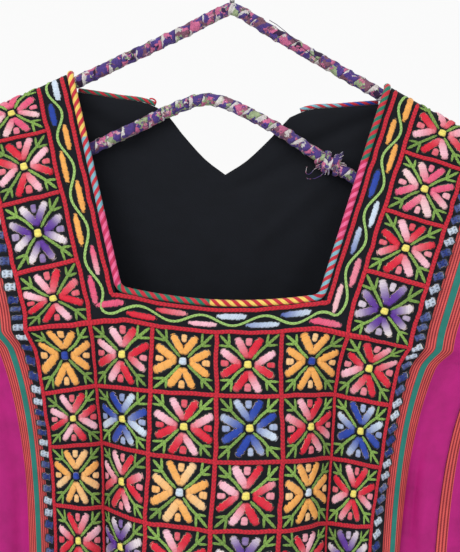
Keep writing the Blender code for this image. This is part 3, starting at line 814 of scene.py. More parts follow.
def cloth_material(name, striped_from, period):
    """Black cotton up to a place across the cut, and striped cloth past it."""
    colours = thobe().cloth
    made, tree, shader = new_material(name, 0.78, Sheen_Weight=0.05, Sheen_Roughness=0.5,
                                      Specular_IOR_Level=0.22)
    cut = add(tree, "ShaderNodeUVMap", uv_map="cut").outputs[0]
    parts = add(tree, "ShaderNodeSeparateXYZ", cut).outputs
    cotton = weave(tree, cut, WEAVE_THREAD)
    out = calc(tree, "ABSOLUTE", parts[0])
    stripes = group_node(tree, "Woven Stripes", lambda: woven_stripes_group(colours),
                         calc(tree, "SUBTRACT", out, striped_from), parts[1], period)
    striped = calc(tree, "GREATER_THAN", out, striped_from)
    colour = mix(tree, striped, colours.black, stripes[0])
    # The cotton's tone holds painted shade between the woven threads.
    feed(tree, shader.inputs["Base Color"], shade_by(tree, colour, cotton[1]))
    feed(tree, shader.inputs["Roughness"], times_plus(tree, striped, -STRIPE_GLOSS, COTTON_ROUGHNESS))
    raised = calc(tree, "MULTIPLY", stripes[1], striped)
    bump(tree, shader, times_plus(tree, raised, 2.0, cotton[0]), 0.18 * MM, 0.7)
    return made


def thread_material(name, slant, lined):
    """Satin stitches: threads side by side along the piece's own map, in its own colours."""
    made, tree, shader = new_material(name, 0.46, Sheen_Weight=0.10, Sheen_Roughness=0.4,
                                      Specular_IOR_Level=0.40)
    parts = mapped(tree, "thread")
    along = times_plus(tree, parts[1], slant, parts[0])
    lines = thread_lines(tree, along, THREAD_PITCH)
    ends = thread_lines(tree, along, THREAD_PITCH * END_PITCH)
    dye = painted(tree)
    # The threads' tone carries painted shade in the valleys between them.
    colour, thread = ragged_edge(tree, shade_by(tree, dye["Color"], lines[1]), dye["Alpha"], ends[2], lined)
    feed(tree, shader.inputs["Base Color"], colour)
    feed(tree, shader.inputs["Roughness"], times_plus(tree, thread, -THREAD_GLOSS, COTTON_ROUGHNESS))
    bump(tree, shader, calc(tree, "MULTIPLY", lines[0], thread), 0.30 * MM)
    return made


def chain_material(name, link):
    """Chain stitches: links that point along the cord, in its own colours, with painted shade between the
    links and along the cord's middle groove.
    """
    made, tree, shader = new_material(name, 0.62, Sheen_Weight=0.08, Specular_IOR_Level=0.30)
    parts = mapped(tree, "thread")
    beside = calc(tree, "ABSOLUTE", calc(tree, "SUBTRACT", parts[1], 0.5))
    along = times_plus(tree, beside, link * LINK_LEAN, parts[0])
    lines = thread_lines(tree, along, link)
    strands = thread_lines(tree, along, link * LINK_STRAND)
    groove = soft_limit(tree, beside, CORD_EDGE_SLOPE)
    height = calc(tree, "MULTIPLY", times_plus(tree, strands[0], LINK_STRAND_HEIGHT, lines[0]), groove)
    # Painted shade: darker between the links and in the cord's middle groove.
    tone = calc(tree, "MULTIPLY", times_plus(tree, lines[0], LINK_VALLEY_SHADE, LINK_DARKEST),
                times_plus(tree, groove, CORD_SIDE_LIGHT, CORD_GROOVE_SHADE))
    inside = calc(tree, "MULTIPLY", calc(tree, "SUBTRACT", 0.5, beside), CORD_FRAY_SLOPE)
    colour, thread = ragged_edge(tree, shade_by(tree, painted(tree)["Color"], tone), inside, strands[2], 0.0)
    feed(tree, shader.inputs["Base Color"], colour)
    bump(tree, shader, calc(tree, "MULTIPLY", height, thread), 0.42 * MM)
    return made


def paint(mesh, name, dyes, inside=1.0):
    """Keep a colour and a share for each of a mesh's points."""
    full = np.ones((len(dyes), 4), dtype=np.float32)
    full[:, :3] = dyes
    full[:, 3] = inside
    painted_on = mesh.color_attributes.new(name=name, type="FLOAT_COLOR", domain="POINT")
    painted_on.data.foreach_set("color", full.ravel())


def finished_mesh(name, points, faces, finish, uv_name, corners, dyes=None, inside=1.0):
    """Make a smooth mesh object, with its map and its thread colours where it has them."""
    mesh = bpy.data.meshes.new(name)
    mesh.from_pydata(np.asarray(points).tolist(), [], faces)
    mesh.shade_smooth()
    mesh.materials.append(finish)
    layer = mesh.uv_layers.new(name=uv_name)
    layer.data.foreach_set("uv", np.asarray(corners, dtype=np.float32).ravel())
    if dyes is not None:
        paint(mesh, "dye", dyes, inside)
    made = bpy.data.objects.new(name, mesh)
    bpy.context.scene.collection.objects.link(made)
    turn_out(made)
    return made


def carried(piece, slot, *nodes):
    """The piece rides on the dress's one body and hides the solids that it stands for; the finish slot is not
    used.
    """
    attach(piece, "root")
    if nodes:
        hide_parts(*nodes)
    return piece


def make_shell(name, outer, inner, cut, finish, kept=None, closed=False):
    """Close a cloth wall between two matching grids of points; cut holds its flat places."""
    lines, rows = outer.shape[:2]
    across = lines if closed else lines - 1
    if kept is None:
        kept = np.ones((across, rows - 1), dtype=bool)
    number = np.full((2, lines, rows), -1)
    points, faces, corners = [], [], []

    def vertex(side, i, j):
        i %= lines
        if number[side, i, j] < 0:
            number[side, i, j] = len(points)
            points.append((outer if side == 0 else inner)[i, j])
        return number[side, i, j]

    def place(i, j):
        if closed and i == lines:
            return (cut[lines - 1, j, 0] + cut[1, j, 0] - cut[0, j, 0], cut[0, j, 1])
        return tuple(cut[i, j])

    def is_kept(i, j):
        i = i % lines if closed else i
        return 0 <= i < across and 0 <= j < rows - 1 and kept[i, j]

    def face(ring):
        faces.append(tuple(int(vertex(*corner)) for corner in ring))
        corners.extend(place(i, j) for side, i, j in ring)

    for i in range(across):
        for j in range(rows - 1):
            if not kept[i, j]:
                continue
            ring = ((i, j), (i + 1, j), (i + 1, j + 1), (i, j + 1))
            face([(0, *corner) for corner in ring])
            face([(1, *corner) for corner in reversed(ring)])
            for edge, beside in enumerate(((i, j - 1), (i + 1, j), (i, j + 1), (i - 1, j))):
                if not is_kept(*beside):
                    a, b = ring[edge], ring[(edge + 1) % 4]
                    face([(0, *b), (0, *a), (1, *a), (1, *b)])
    return finished_mesh(name, points, faces, finish, "cut", corners)


def turn_out(piece):
    """Turn the faces of each closed part of a mesh outwards, where they point in."""
    work = bmesh.new()
    work.from_mesh(piece.data)
    inward = []
    for first in work.faces:
        if first.tag:
            continue
        first.tag = True
        part = [first]
        for face in part:
            for edge in face.edges:
                for beside in edge.link_faces:
                    if not beside.tag:
                        beside.tag = True
                        part.append(beside)
        start = first.verts[0].co
        if sum((face.calc_center_median() - start).dot(face.normal) * face.calc_area() for face in part) < 0:
            inward += part
    if inward:
        bmesh.ops.reverse_faces(work, faces=inward)
        work.to_mesh(piece.data)
    work.free()


# Where the shells have their points.
NECK_EDGE = NECK_HALF + FRONT_ROPE + SEAM_GAP
TURN_ROWS = np.linspace(0.0, 0.012, 9)
YOKE_ROWS = np.linspace(0.0, 1.0, 36)[1:]
CHEST_ROWS = np.concatenate((np.linspace(CHEST_TOP, UNDERARM, 14)[1:],
                             np.linspace(UNDERARM, PANEL_BOTTOM, 52)[1:]))
SKIRT_ROWS = np.linspace(PANEL_BOTTOM, HEM, 92)[1:]
NECK_ROWS = len(TURN_ROWS) + len(YOKE_ROWS)
PANEL_ROWS = NECK_ROWS + len(CHEST_ROWS)
BODY_ROWS = PANEL_ROWS + len(SKIRT_ROWS)


def mirrored(places):
    return np.concatenate((-places[::-1], places[1:] if places[0] == 0 else places))


HALF_ACROSS = np.concatenate((np.linspace(0, NECK_HALF, 20), np.linspace(NECK_EDGE, PANEL_HALF, 24),
                              np.linspace(PANEL_HALF, BODY_HALF, 17)[1:]))
ACROSS = mirrored(HALF_ACROSS)


def rows_below(top):
    """Heights of the points of one line of cloth below its top edge."""
    turn = top + TURN_ROWS
    yoke = turn[-1] + (CHEST_TOP - turn[-1]) * YOKE_ROWS
    return np.concatenate((turn, yoke, CHEST_ROWS, SKIRT_ROWS))


def flat_grid(across, tops):
    downs = np.array([rows_below(top) for top in tops])
    return np.repeat(across[:, None], downs.shape[1], axis=1), downs


def front_normal(across, down):
    return outward(front, across, down, -1)


def back_normal(across, down):
    return outward(back, across, down, 1)


PUCKER = 0.5 * MM

# How far the grid, drawn by hand, strays from an even one: to the side and down, in millimetres.
DRIFT_COLUMNS = (-3, -2, 0, 2, 3)
GRID_ASIDE = (
    ("row", "left edge", "second", "middle", "sixth", "right edge"),
    (-4, 0.0, 0.0, 0.0, 0.0, 0.0),
    (-1, 0.0, 0.0, 0.0, -1.0, 0.0),
    (0, 1.0, 1.0, -1.5, -1.0, -1.0),
    (1, -2.5, -3.5, 0.0, 0.0, 1.5),
    (2, -3.0, -3.0, -1.0, 3.0, 1.5),
    (3, -3.0, -4.5, -4.0, 1.5, -2.5),
    (4, -3.0, -4.5, -4.0, 1.0, -3.0),
    (5, -2.0, -3.0, -3.0, 0.0, -2.0),
)
GRID_LOWER = (
    ("row", "left edge", "second", "middle", "sixth", "right edge"),
    (-4, 0.0, 0.0, 0.0, 0.0, 0.0),
    (-3, -10.0, -10.0, 0.0, -4.5, -5.0),
    (-2, -9.5, -9.5, 0.0, -5.0, -7.0),
    (-1, -4.0, -4.0, 0.0, -4.5, -7.5),
    (0, 1.5, 0.0, 0.5, 1.0, 4.5),
    (1, 11.0, 3.5, 2.0, 2.5, 9.0),
    (2, 2.5, -1.0, 4.5, 3.0, 8.5),
    (3, -2.0, 0.5, 8.5, 5.5, 5.0),
    (4, 0.0, 0.5, 7.0, 5.0, 5.0),
    (5, 1.0, 1.0, 3.0, 2.5, 3.0),
)


def drift(table, across, down):
    """How far a place on the grid strays, read between the columns and rows of a table."""
    column = np.clip(across / CELL, DRIFT_COLUMNS[0], DRIFT_COLUMNS[-1])
    row = (down - GRID_TOP) / CELL
    total = 0.0
    for number, place in enumerate(DRIFT_COLUMNS):
        before = DRIFT_COLUMNS[max(number - 1, 0)]
        after = DRIFT_COLUMNS[min(number + 1, len(DRIFT_COLUMNS) - 1)]
        near = np.where(column < place, (column - before) / max(place - before, 1),
                        (after - column) / max(after - place, 1))
        near = np.where(column == place, 1.0, np.clip(near, 0.0, 1.0))
        total = total + near * read_table(table, row, table[0][number + 1])
    return total * MM


def puckers(across, down):
    """How far the stitched panel puffs up inside its squares."""
    across, down = across - drift(GRID_ASIDE, across, down), down - drift(GRID_LOWER, across, down)
    cell = np.sin(math.pi * across / CELL) ** 2 * np.sin(math.pi * (down - GRID_TOP) / CELL) ** 2
    return PUCKER * cell * (np.abs(across) < 3 * CELL) * (down < GRID_BOTTOM)


def on_panel(across, down, lift):
    """A point above the chest panel's outer side, moved as the hand-drawn grid strays."""
    across, down = across + drift(GRID_ASIDE, across, down), down + drift(GRID_LOWER, across, down)
    raised = SEAM_GAP + PANEL_CLOTH + puckers(across, down) + lift
    return front(across, down) + front_normal(across, down) * raised[..., None]


def back_neck_drop(across):
    return read_table(BACK_NECK, np.minimum(np.abs(across) / NECK_HALF, 1.0), "drop")


def back_top(across):
    """Height of the back's top edge, clear of the edging where there is one."""
    out = abs(across)
    if out > NECK_HALF + NEAR:
        return float(shoulder_cut(across))
    drop = float(back_neck_drop(across))
    if out < SLIT_CORNER * NECK_HALF - 0.0001:
        return drop
    step = 0.001
    here = lay(np.array(out), np.array(drop))
    there = lay(np.array(out + step), back_neck_drop(out + step))
    slope = float((there[1] - here[1]) / (there[0] - here[0]))
    return drop + (BACK_ROPE + SEAM_GAP) * math.sqrt(1 + slope ** 2)


def outside_neck(places, rows):
    """The cells of a grid that are cloth: all but those in the square neck."""
    middles = (np.abs(places[1:]) + np.abs(places[:-1])) / 2
    kept = np.ones((len(places) - 1, rows - 1), dtype=bool)
    kept[middles < NECK_EDGE, :NECK_ROWS - 1] = False
    return kept


def body_shell(name, surface, normal, tops, creases, kept, finish):
    across, down = flat_grid(ACROSS, tops)
    out = normal(across, down)
    outer = surface(across, down) - out * crease_depth(creases, across, down)[..., None]
    cut = np.stack((across, down), axis=-1)
    return make_shell(name, outer, outer - out * CLOTH, cut, finish, kept)


class THOBE_OT_front(bpy.types.Operator):
    """Cut and hang the front, with its square neck"""
    bl_idname = "thobe.front"
    bl_label = "Front"

    def execute(self, context):
        tops = [float(shoulder_cut(place)) for place in ACROSS]
        kept = outside_neck(ACROSS, BODY_ROWS)
        finish = cloth_material("Body cloth", PANEL_HALF, BODY_STRIPE_PERIOD)
        made = body_shell("front_cloth", front, front_normal, tops, FRONT_CREASES, kept, finish)
        carried(made, "black_cotton", "front_body")
        return {"FINISHED"}


class THOBE_OT_back(bpy.types.Operator):
    """Cut and hang the back, with its slit neck"""
    bl_idname = "thobe.back"
    bl_label = "Back"

    def execute(self, context):
        tops = []
        for place in ACROSS:
            inside = abs(place) < NECK_HALF + NEAR
            tops.append(back_top(place) - (TURN_ROWS[-1] if inside else 0.0))
        kept = np.ones((len(ACROSS) - 1, BODY_ROWS - 1), dtype=bool)
        inside = np.minimum(np.abs(ACROSS[1:]), np.abs(ACROSS[:-1])) < NECK_HALF + NEAR
        kept[inside, :len(TURN_ROWS) - 1] = False
        finish = bpy.data.materials["Body cloth"]
        made = body_shell("back_cloth", back, back_normal, tops, BACK_CREASES, kept, finish)
        carried(made, "black_cotton", "back_body")
        neck = 2 * NECK_HALF * float(np.mean(back_neck_drop(np.linspace(0, NECK_HALF, 101))))
        return {"FINISHED"}


# Places on the cut past which cloth is striped: all of it is black, or all of it striped.
ALL_BLACK = 1.0
ALL_STRIPED = -1.0

GORE_SHARES = np.linspace(0, 1, 49)
GORE_ROWS = np.linspace(UNDERARM, HEM, 130)
GORE_TOP_CUT = 0.095
GORE_HEM_CUT = 0.270
GORE_EDGE = 0.01
GORE_FADE = 0.08
GORE_CREASE_WIDTH = 0.2
SLEEVE_TOP_CUT = 0.400
SLEEVE_CUFF_CUT = 0.290
SLEEVE_LENGTH = 0.520
CUFF = len(SLEEVE) - 2


class THOBE_OT_gores(bpy.types.Operator):
    """Cut and hang the striped gores under the arms"""
    bl_idname = "thobe.gores"
    bl_label = "Gores"

    def execute(self, context):
        finish = cloth_material("Striped cloth", ALL_STRIPED, WIDE_STRIPE_PERIOD)
        length = HEM - UNDERARM
        share, down = np.meshgrid(GORE_SHARES, GORE_ROWS, indexing="ij")
        inside = np.clip(share, GORE_EDGE, 1 - GORE_EDGE)
        height = np.maximum(down, UNDERARM + 1 * MM)
        fade = np.sin(math.pi * share) ** 0.5 * ease((down - UNDERARM) / GORE_FADE)
        sunk = crease_depth(GORE_CREASES, share, down, GORE_CREASE_WIDTH) * fade
        width = GORE_TOP_CUT + (GORE_HEM_CUT - GORE_TOP_CUT) * (down - UNDERARM) / length
        cut = np.stack((share * width + 1.0 + WIDE_STRIPE_PERIOD * 0.8, down), axis=-1)
        for word, side in (("left", -1), ("right", 1)):
            out = outward(lambda a, b: gore(side, a, b), inside, height, -side)
            outer = gore(side, share, down) - out * sunk[..., None]
            made = make_shell(f"gore_{word}", outer, outer - out * CLOTH, cut, finish)
            carried(made, "striped_magenta", f"side_gore_{word}")
        return {"FINISHED"}


def sleeve_creased(side, section, turn):
    """Outer side of a sleeve with its small creases, and its normals."""
    step = 0.002
    along = sleeve(side, section + step, turn) - sleeve(side, np.maximum(section - step, 0), turn)
    around = sleeve(side, section, turn + step) - sleeve(side, section, turn - step)
    out = unit(np.cross(along, around) * side)
    total = np.zeros(turn.shape)
    for place, middle, half_turn, half_sections, depth in SLEEVE_CREASES[1:]:
        off = (turn - place + 0.5) % 1.0 - 0.5
        total += depth * np.exp(-(off / half_turn) ** 2 - ((section - middle) / half_sections) ** 4)
    total *= ease(section / 0.8)
    return sleeve(side, section, turn) - out * total[..., None], out


class THOBE_OT_sleeves(bpy.types.Operator):
    """Cut and hang the striped sleeves"""
    bl_idname = "thobe.sleeves"
    bl_label = "Sleeves"

    def execute(self, context):
        finish = bpy.data.materials["Striped cloth"]
        turn, section = np.meshgrid(np.arange(112) / 112, np.linspace(0, CUFF, 104), indexing="ij")
        width = SLEEVE_TOP_CUT + (SLEEVE_CUFF_CUT - SLEEVE_TOP_CUT) * section / CUFF
        cut = np.stack((turn * width + 1.0, section * SLEEVE_LENGTH / CUFF), axis=-1)
        for word, side in (("left", -1), ("right", 1)):
            outer, out = sleeve_creased(side, section, turn)
            made = make_shell(f"sleeve_{word}_cloth", outer, outer - out * CLOTH, cut, finish, closed=True)
            carried(made, "striped_magenta", f"sleeve_{word}")
        return {"FINISHED"}


class Stitching:
    """Stitches gathered flat, as points across, down and above the cloth, then laid on it as one mesh."""

    def __init__(self):
        self.points, self.dyes, self.insides, self.corners, self.faces = [], [], [], [], []
        self.count = 0

    def add(self, points, faces, dyes, corners, inside=1.0):
        self.points.append(points)
        self.dyes.append(np.broadcast_to(dyes, (len(points), 3)))
        self.insides.append(np.broadcast_to(inside, len(points)))
        self.corners.append(corners)
        self.faces += [tuple(int(i) + self.count for i in face) for face in faces]
        self.count += len(points)

    def lay_on(self, name, place, finish):
        flat = np.concatenate(self.points)
        points = place(flat[:, 0], flat[:, 1], flat[:, 2]) if place else flat
        return finished_mesh(name, points, self.faces, finish, "thread", np.concatenate(self.corners),
                             np.concatenate(self.dyes), np.concatenate(self.insides))


def underside(rim, faces):
    """The face that closes a pad below: its rim's points in order, turned against the faces above."""
    following = {}
    for face in faces:
        for start, end in zip(face, face[1:] + face[:1]):
            if (start, end) in rim or (end, start) in rim:
                following[end] = start
    ring = [next(iter(following))]
    while len(ring) < len(following):
        ring.append(following[ring[-1]])
    return tuple(ring)


# How a pad of stitches rises from its edge: the insets and heights of its steps, as shares.
SOFT_CROWN = ((0.18, 0.74), (0.12, 0.26))
LOW_CROWN = ((0.10, 0.70), (0.16, 0.30))
# The pads' outlines: how many points, how round (1) or square (0) they are, and the crown.
PAD_FORMS = {
    "petal": (16, 0.74, SOFT_CROWN),
    "bud": (10, 0.66, LOW_CROWN),
    "centre": (12, 0.55, LOW_CROWN),
    "long pad": (16, 0.74, SOFT_CROWN),
    "bar": (12, 0.5, SOFT_CROWN),
    "stitch": (8, 0.8, LOW_CROWN),
}
END_FULLNESS = 1.27
DEEP_HOLDS = 1.8
PAD_SUNK = 0.05 * MM
PAD_MAP = 4 * MM


def model_pad(name):
    """Model a pad of satin stitches: a disc squared off, inset and raised in steps, and poked."""
    points, squareness, crown = PAD_FORMS[name]
    bpy.ops.object.select_all(action="DESELECT")
    bpy.ops.mesh.primitive_circle_add(vertices=points, radius=0.5, fill_type="NGON")
    pad = bpy.context.object
    pad.name = name
    for vertex in pad.data.vertices:
        for axis in (0, 1):
            reach = abs(vertex.co[axis]) * 2
            vertex.co[axis] = math.copysign(0.5 * reach ** squareness, vertex.co[axis])
    bpy.ops.object.mode_set(mode="EDIT")
    bpy.ops.mesh.select_all(action="SELECT")
    for inset, rise in crown:
        bpy.ops.mesh.inset(thickness=inset)
        bpy.ops.transform.translate(value=(0, 0, rise))
    bpy.ops.mesh.poke()
    bpy.ops.object.mode_set(mode="OBJECT")
    vertices = np.array([vertex.co[:] for vertex in pad.data.vertices])
    faces = [tuple(face.vertices) for face in pad.data.polygons]
    rim = {tuple(edge.vertices) for edge in pad.data.edges if vertices[list(edge.vertices), 2].max() < NEAR}
    faces.append(underside(rim, faces))
    mesh = pad.data
    bpy.data.objects.remove(pad)
    bpy.data.meshes.remove(mesh)
    return vertices, faces


def add_pad(work, form, place, heading, size, tones, taper=0.0, lean=0.0, joined=0.0):
    """Stitch a pad: its length runs along the heading, and tones gives its colour along its length."""
    vertices, faces = form
    width, length, height = size
    raised = vertices[:, 2] > 0.01
    full = np.where(raised & (length > 2 * width), END_FULLNESS, 1.0)
    local_y = vertices[:, 1] * full * length
    along = local_y / length + 0.5
    local_x = vertices[:, 0] * width * (1 - taper * (1 - along)) + lean * local_y
    dx, dd = heading
    across = place[0] + local_y * dx - local_x * dd
    down = place[1] + local_y * dd + local_x * dx
    lift = vertices[:, 2] * height - PAD_SUNK
    inside = np.where(~raised & (along >= joined), 0.0, 1.0)
    threads = np.stack((along * length, (vertices[:, 0] + 0.5) * width / PAD_MAP), axis=-1)
    corners = np.concatenate([threads[list(face)] for face in faces])
    work.add(np.stack((across, down, lift), axis=-1), faces, tones(along), corners, inside)


def one_tone(colour):
    return lambda along: np.array(colour)


def shaded(deep, pale, first, last, wander):
    """A pad stitched with shaded thread, from one tone of it to another, a little uneven."""
    def tones(along):
        tone = first + (last - first) * along + wander * np.sin(along * 9 + first * 20)
        return deep + (pale - deep) * np.clip(tone, 0, 1)[:, None]
    return tones


def variegated(deep, pale, phase, rate):
    """Thread dyed deep and pale by turns."""
    def tones(along):
        share = (0.5 - 0.5 * np.cos(math.pi * (phase + rate * along))) ** DEEP_HOLDS
        return deep + (pale - deep) * share[:, None]
    return tones


def stray(chance, amount):
    """How far a hand strays to either side."""
    return chance.uniform(-amount, amount)


def dyed(word, tone=1.0):
    """A thread's colour by its name, made lighter or darker."""
    return np.array(getattr(thobe().thread, word)[:]) * tone


def sew_on_panel(work, name, finish):
    carried(work.lay_on(name, on_panel, bpy.data.materials[finish]), "stitched_panel")


def resample(route, step):
    """Points along a flat or hung route at even steps, on straight runs between its own points."""
    route = np.asarray(route, float)
    runs = np.linalg.norm(np.diff(route, axis=0), axis=1)
    reach = np.concatenate(([0], np.cumsum(runs)))
    places = np.linspace(0, reach[-1], max(int(round(reach[-1] / step)), 2) + 1)
    return np.stack([np.interp(places, reach, route[:, axis]) for axis in range(route.shape[1])], -1), places


def directions(points):
    return unit(np.gradient(points, axis=0))


def square_to(slope):
    """Flat directions square to those along a route."""
    return np.stack((-slope[:, 1], slope[:, 0]), -1)


def tube_faces(places, sides, shares):
    """Faces of a closed tube of rings, with their corners' places along it and shares round it."""
    faces, corners = [], []
    for i in range(len(places) - 1):
        for k in range(sides):
            a, b = i * sides + k, i * sides + (k + 1) % sides
            faces.append((a, a + sides, b + sides, b))
            corners += [(places[i], shares[k]), (places[i + 1], shares[k]),
                        (places[i + 1], shares[k + 1]), (places[i], shares[k + 1])]
    last = (len(places) - 1) * sides
    faces.append(tuple(range(sides)))
    faces.append(tuple(last + k for k in reversed(range(sides))))
    corners += [(places[0], 0.5)] * sides + [(places[-1], 0.5)] * sides
    return faces, np.array(corners)


CORD_SIDES = 7
CORD_STEP = 3 * MM
CORD_END = 0.55


def add_cord(work, route, width, height, dye, step=CORD_STEP):
    """Lay a cord flat on the cloth along a route of points across and down."""
    points, places = resample(route, step)
    beside = square_to(directions(points))
    angle = np.linspace(0, math.pi, CORD_SIDES - 1)
    ring_out = np.append(np.cos(angle), 0.0) * width / 2
    ring_up = np.append(np.sin(angle), 0.0) * height - 0.1 * MM
    size = np.ones(len(points))
    size[[0, -1]] = CORD_END
    flat = points[:, None, :] + beside[:, None, :] * (ring_out[None, :, None] * size[:, None, None])
    lift = np.broadcast_to(ring_up[None, :] * size[:, None], flat.shape[:2])
    rings = np.concatenate((flat, lift[..., None]), -1).reshape(-1, 3)
    shares = np.minimum(np.arange(CORD_SIDES + 1) / (CORD_SIDES - 2), 1.0)
    faces, corners = tube_faces(places, CORD_SIDES, shares)
    work.add(rings, faces, np.array(dye), corners)


def add_tube(work, route, radius_at, sides, dye_at, step):
    """Sweep a round bar along a route in space; its radius and colour may change along and round it."""
    points, places = resample(route, step)
    slope = directions(points)
    side = np.cross(slope[0], (0, 1, 0) if abs(slope[0][1]) < 0.9 else (1, 0, 0))
    sides_at, ups_at = [], []
    for along in slope:
        side = unit(side - along * side.dot(along))
        sides_at.append(side)
        ups_at.append(np.cross(along, side))
    place, turn = np.meshgrid(places, np.arange(sides) / sides, indexing="ij")
    radius = radius_at(place, turn)
    swing, lift = np.cos(2 * math.pi * turn) * radius, np.sin(2 * math.pi * turn) * radius
    rings = (points[:, None, :] + np.array(sides_at)[:, None, :] * swing[..., None]
             + np.array(ups_at)[:, None, :] * lift[..., None])
    faces, corners = tube_faces(places, sides, np.arange(sides + 1) / sides)
    work.add(rings.reshape(-1, 3), faces, dye_at(place, turn).reshape(-1, 3), corners)


def even(value):
    """A radius or a colour that is the same everywhere on a tube."""
    return lambda place, turn: np.broadcast_to(np.array(value, float), (*place.shape, *np.shape(value)))


# The flowers by row from the grid's top, then up each side of the neck: the shade of the petals.
GRID_FLOWERS = (
    ("orange", "red", "orange", "red", "orange", "red"),
    ("red", "blue", "red", "blue", "red", "blue"),
    ("peach", "red", "peach", "red", "orange", "red"),
    ("red", "purple", "red", "purple", "red", "purple"),
    ("orange", "red", "orange", "red", "orange", "red"),
)
GRID_CENTRES = (
    ("blue_deep", "yellow", "blue_pale", "yellow", "blue_deep", "yellow"),
    ("yellow", "yellow", "yellow", "yellow", "yellow", "yellow"),
    ("blue_deep", "yellow", "blue_pale", "yellow", "blue_pale", "yellow"),
    ("yellow", "yellow", "yellow", "yellow", "yellow", "yellow"),
    ("blue_deep", "yellow", "blue_pale", "yellow", "blue_deep", "yellow"),
)
SIDE_FLOWERS = (("pink", "red", "purple", "red"), ("red", "pink", "red", "purple"))
SIDE_STRIP_MIDDLE = 2.5 * CELL

# Where a flower's parts lie, from its centre.
PETAL_MIDDLE = 13.4 * MM
PETAL_BESIDE = 4.9 * MM
PETAL_LEAN = math.radians(30)
BUD_MIDDLE = 18.0 * MM
STEM_START = 3.0 * MM
STEM_FORK = 15.088 * MM
STEM_END = 22.4 * MM
PRONG_REACH = 9.2 * MM
STEM_STEP = 2.6 * MM
STEM_LINK = 3.0 * MM
PRONG_WIDTH = 0.92
PETAL_TAPER = 0.22
PETAL_BOW = 0.04
PETAL_JOINED = 0.22
BUD_TAPER = 0.34
BUD_RISE = 0.8
CENTRE_RISE = 1.1
# How unevenly the hand stitches: the flower's place and turn, the petals' lean and their sizes.
PLACE_STRAYS = 0.9 * MM
TURN_STRAYS = 0.06
LEAN_STRAYS = 0.07
PETAL_SIZES = (0.92, 1.06)
BUD_SIZES = (0.85, 1.1)
STEM_STRAYS = 0.8 * MM
STEM_TONES = (0.74, 1.14)


def shade_of(word):
    """The deep and the pale thread of a flower."""
    word = "orange" if word == "peach" else word
    return dyed(f"{word}_deep"), dyed(f"{word}_pale")


def pair_of_tones(word, chance):
    """Where a pair of petals starts in the thread's turns of dye, and how fast it runs through them."""
    if word == "orange":
        return chance.uniform(0.0, 0.3), stray(chance, 0.15)
    if word == "peach":
        return 0.5, chance.choice((-1, 1)) * chance.uniform(0.2, 0.55)
    if word == "purple":
        return stray(chance, 0.25), chance.choice((-1, 1)) * chance.uniform(0.7, 1.1)
    return chance.uniform(0.15, 0.65), chance.choice((-1, 1)) * chance.uniform(0.40, 0.75)


def flower_places():
    """Every square of the panel: its middle, its flower's shade and its centre's colour."""
    for row, (words, centres) in enumerate(zip(GRID_FLOWERS, GRID_CENTRES)):
        for column, (word, centre) in enumerate(zip(words, centres)):
            yield (column - 2.5) * CELL, GRID_TOP + (row + 0.5) * CELL, word, centre
    for side, words in zip((-1, 1), SIDE_FLOWERS):
        for row, word in enumerate(words):
            yield side * SIDE_STRIP_MIDDLE, GRID_TOP - (len(words) - row - 0.5) * CELL, word, "yellow"


class THOBE_OT_chest_panel(bpy.types.Operator):
    """Cut the chest panel of black cotton and lay it on the front"""
    bl_idname = "thobe.chest_panel"
    bl_label = "Chest panel"

    def execute(self, context):
        inside = np.abs(ACROSS) <= PANEL_HALF + NEAR
        places = ACROSS[inside]
        across, down = flat_grid(places, [float(shoulder_cut(place)) for place in places])
        across, down = across[:, :PANEL_ROWS], down[:, :PANEL_ROWS]
        out = front_normal(across, down)
        raised = SEAM_GAP + PANEL_CLOTH + puckers(across, down)
        outer = front(across, down) + out * raised[..., None]
        inner = front(across, down) + out * SEAM_GAP
        kept = outside_neck(places, PANEL_ROWS)
        finish = cloth_material("Panel cotton", ALL_BLACK, BODY_STRIPE_PERIOD)
        made = make_shell("panel_cloth", outer, inner, np.stack((across, down), -1), finish, kept)
        carried(made, "stitched_panel", "chest_panel")
        return {"FINISHED"}


class THOBE_OT_flowers(bpy.types.Operator):
    """Stitch a flower in each square: eight petals, four buds and a centre"""
    bl_idname = "thobe.flowers"
    bl_label = "Flowers"

    def execute(self, context):
        size, chance = thobe().stitch, random.Random(11)
        petal, small, square = model_pad("petal"), model_pad("bud"), model_pad("centre")
        petals, buds = Stitching(), Stitching()
        for x, down, word, centre in flower_places():
            deep, pale = shade_of(word)
            middle = np.array((x + stray(chance, PLACE_STRAYS), down + stray(chance, PLACE_STRAYS)))
            spin = stray(chance, TURN_STRAYS)
            bud_tone = chance.uniform(0.0, 0.45)
            for quarter in range(4):
                turn = quarter * math.pi / 2 + spin
                ahead = np.array((math.sin(turn), -math.cos(turn)))
                beside = np.array((math.cos(turn), math.sin(turn)))
                phase, rate = pair_of_tones(word, chance)
                for half in (-1, 1):
                    lean = (PETAL_LEAN + stray(chance, LEAN_STRAYS)) * half
                    heading = ahead * math.cos(lean) + beside * math.sin(lean)
                    scale = chance.uniform(*PETAL_SIZES)
                    place = middle + ahead * PETAL_MIDDLE * (0.6 + 0.4 * scale) + beside * PETAL_BESIDE * half
                    form = (size.petal_width * chance.uniform(*PETAL_SIZES), size.petal_length * scale,
                            size.petal_height)
                    add_pad(petals, petal, place, heading, form, variegated(deep, pale, phase, rate * half),
                            PETAL_TAPER, PETAL_BOW * half, PETAL_JOINED)
                tone = bud_tone + chance.uniform(0, 0.4)
                form = (size.bud_width * chance.uniform(*BUD_SIZES), size.bud_length,
                        size.petal_height * BUD_RISE)
                add_pad(buds, small, middle + ahead * BUD_MIDDLE, ahead, form,
                        shaded(deep, pale, tone, tone, 0.04), BUD_TAPER)
            form = (size.centre, size.centre, size.petal_height * CENTRE_RISE)
            add_pad(buds, square, middle, (math.sin(spin), -math.cos(spin)), form, one_tone(dyed(centre)))
        thread_material("Satin thread", 0.0004, 0.7)
        sew_on_panel(petals, "flower_petals", "Satin thread")
        sew_on_panel(buds, "flower_centres", "Satin thread")
        return {"FINISHED"}


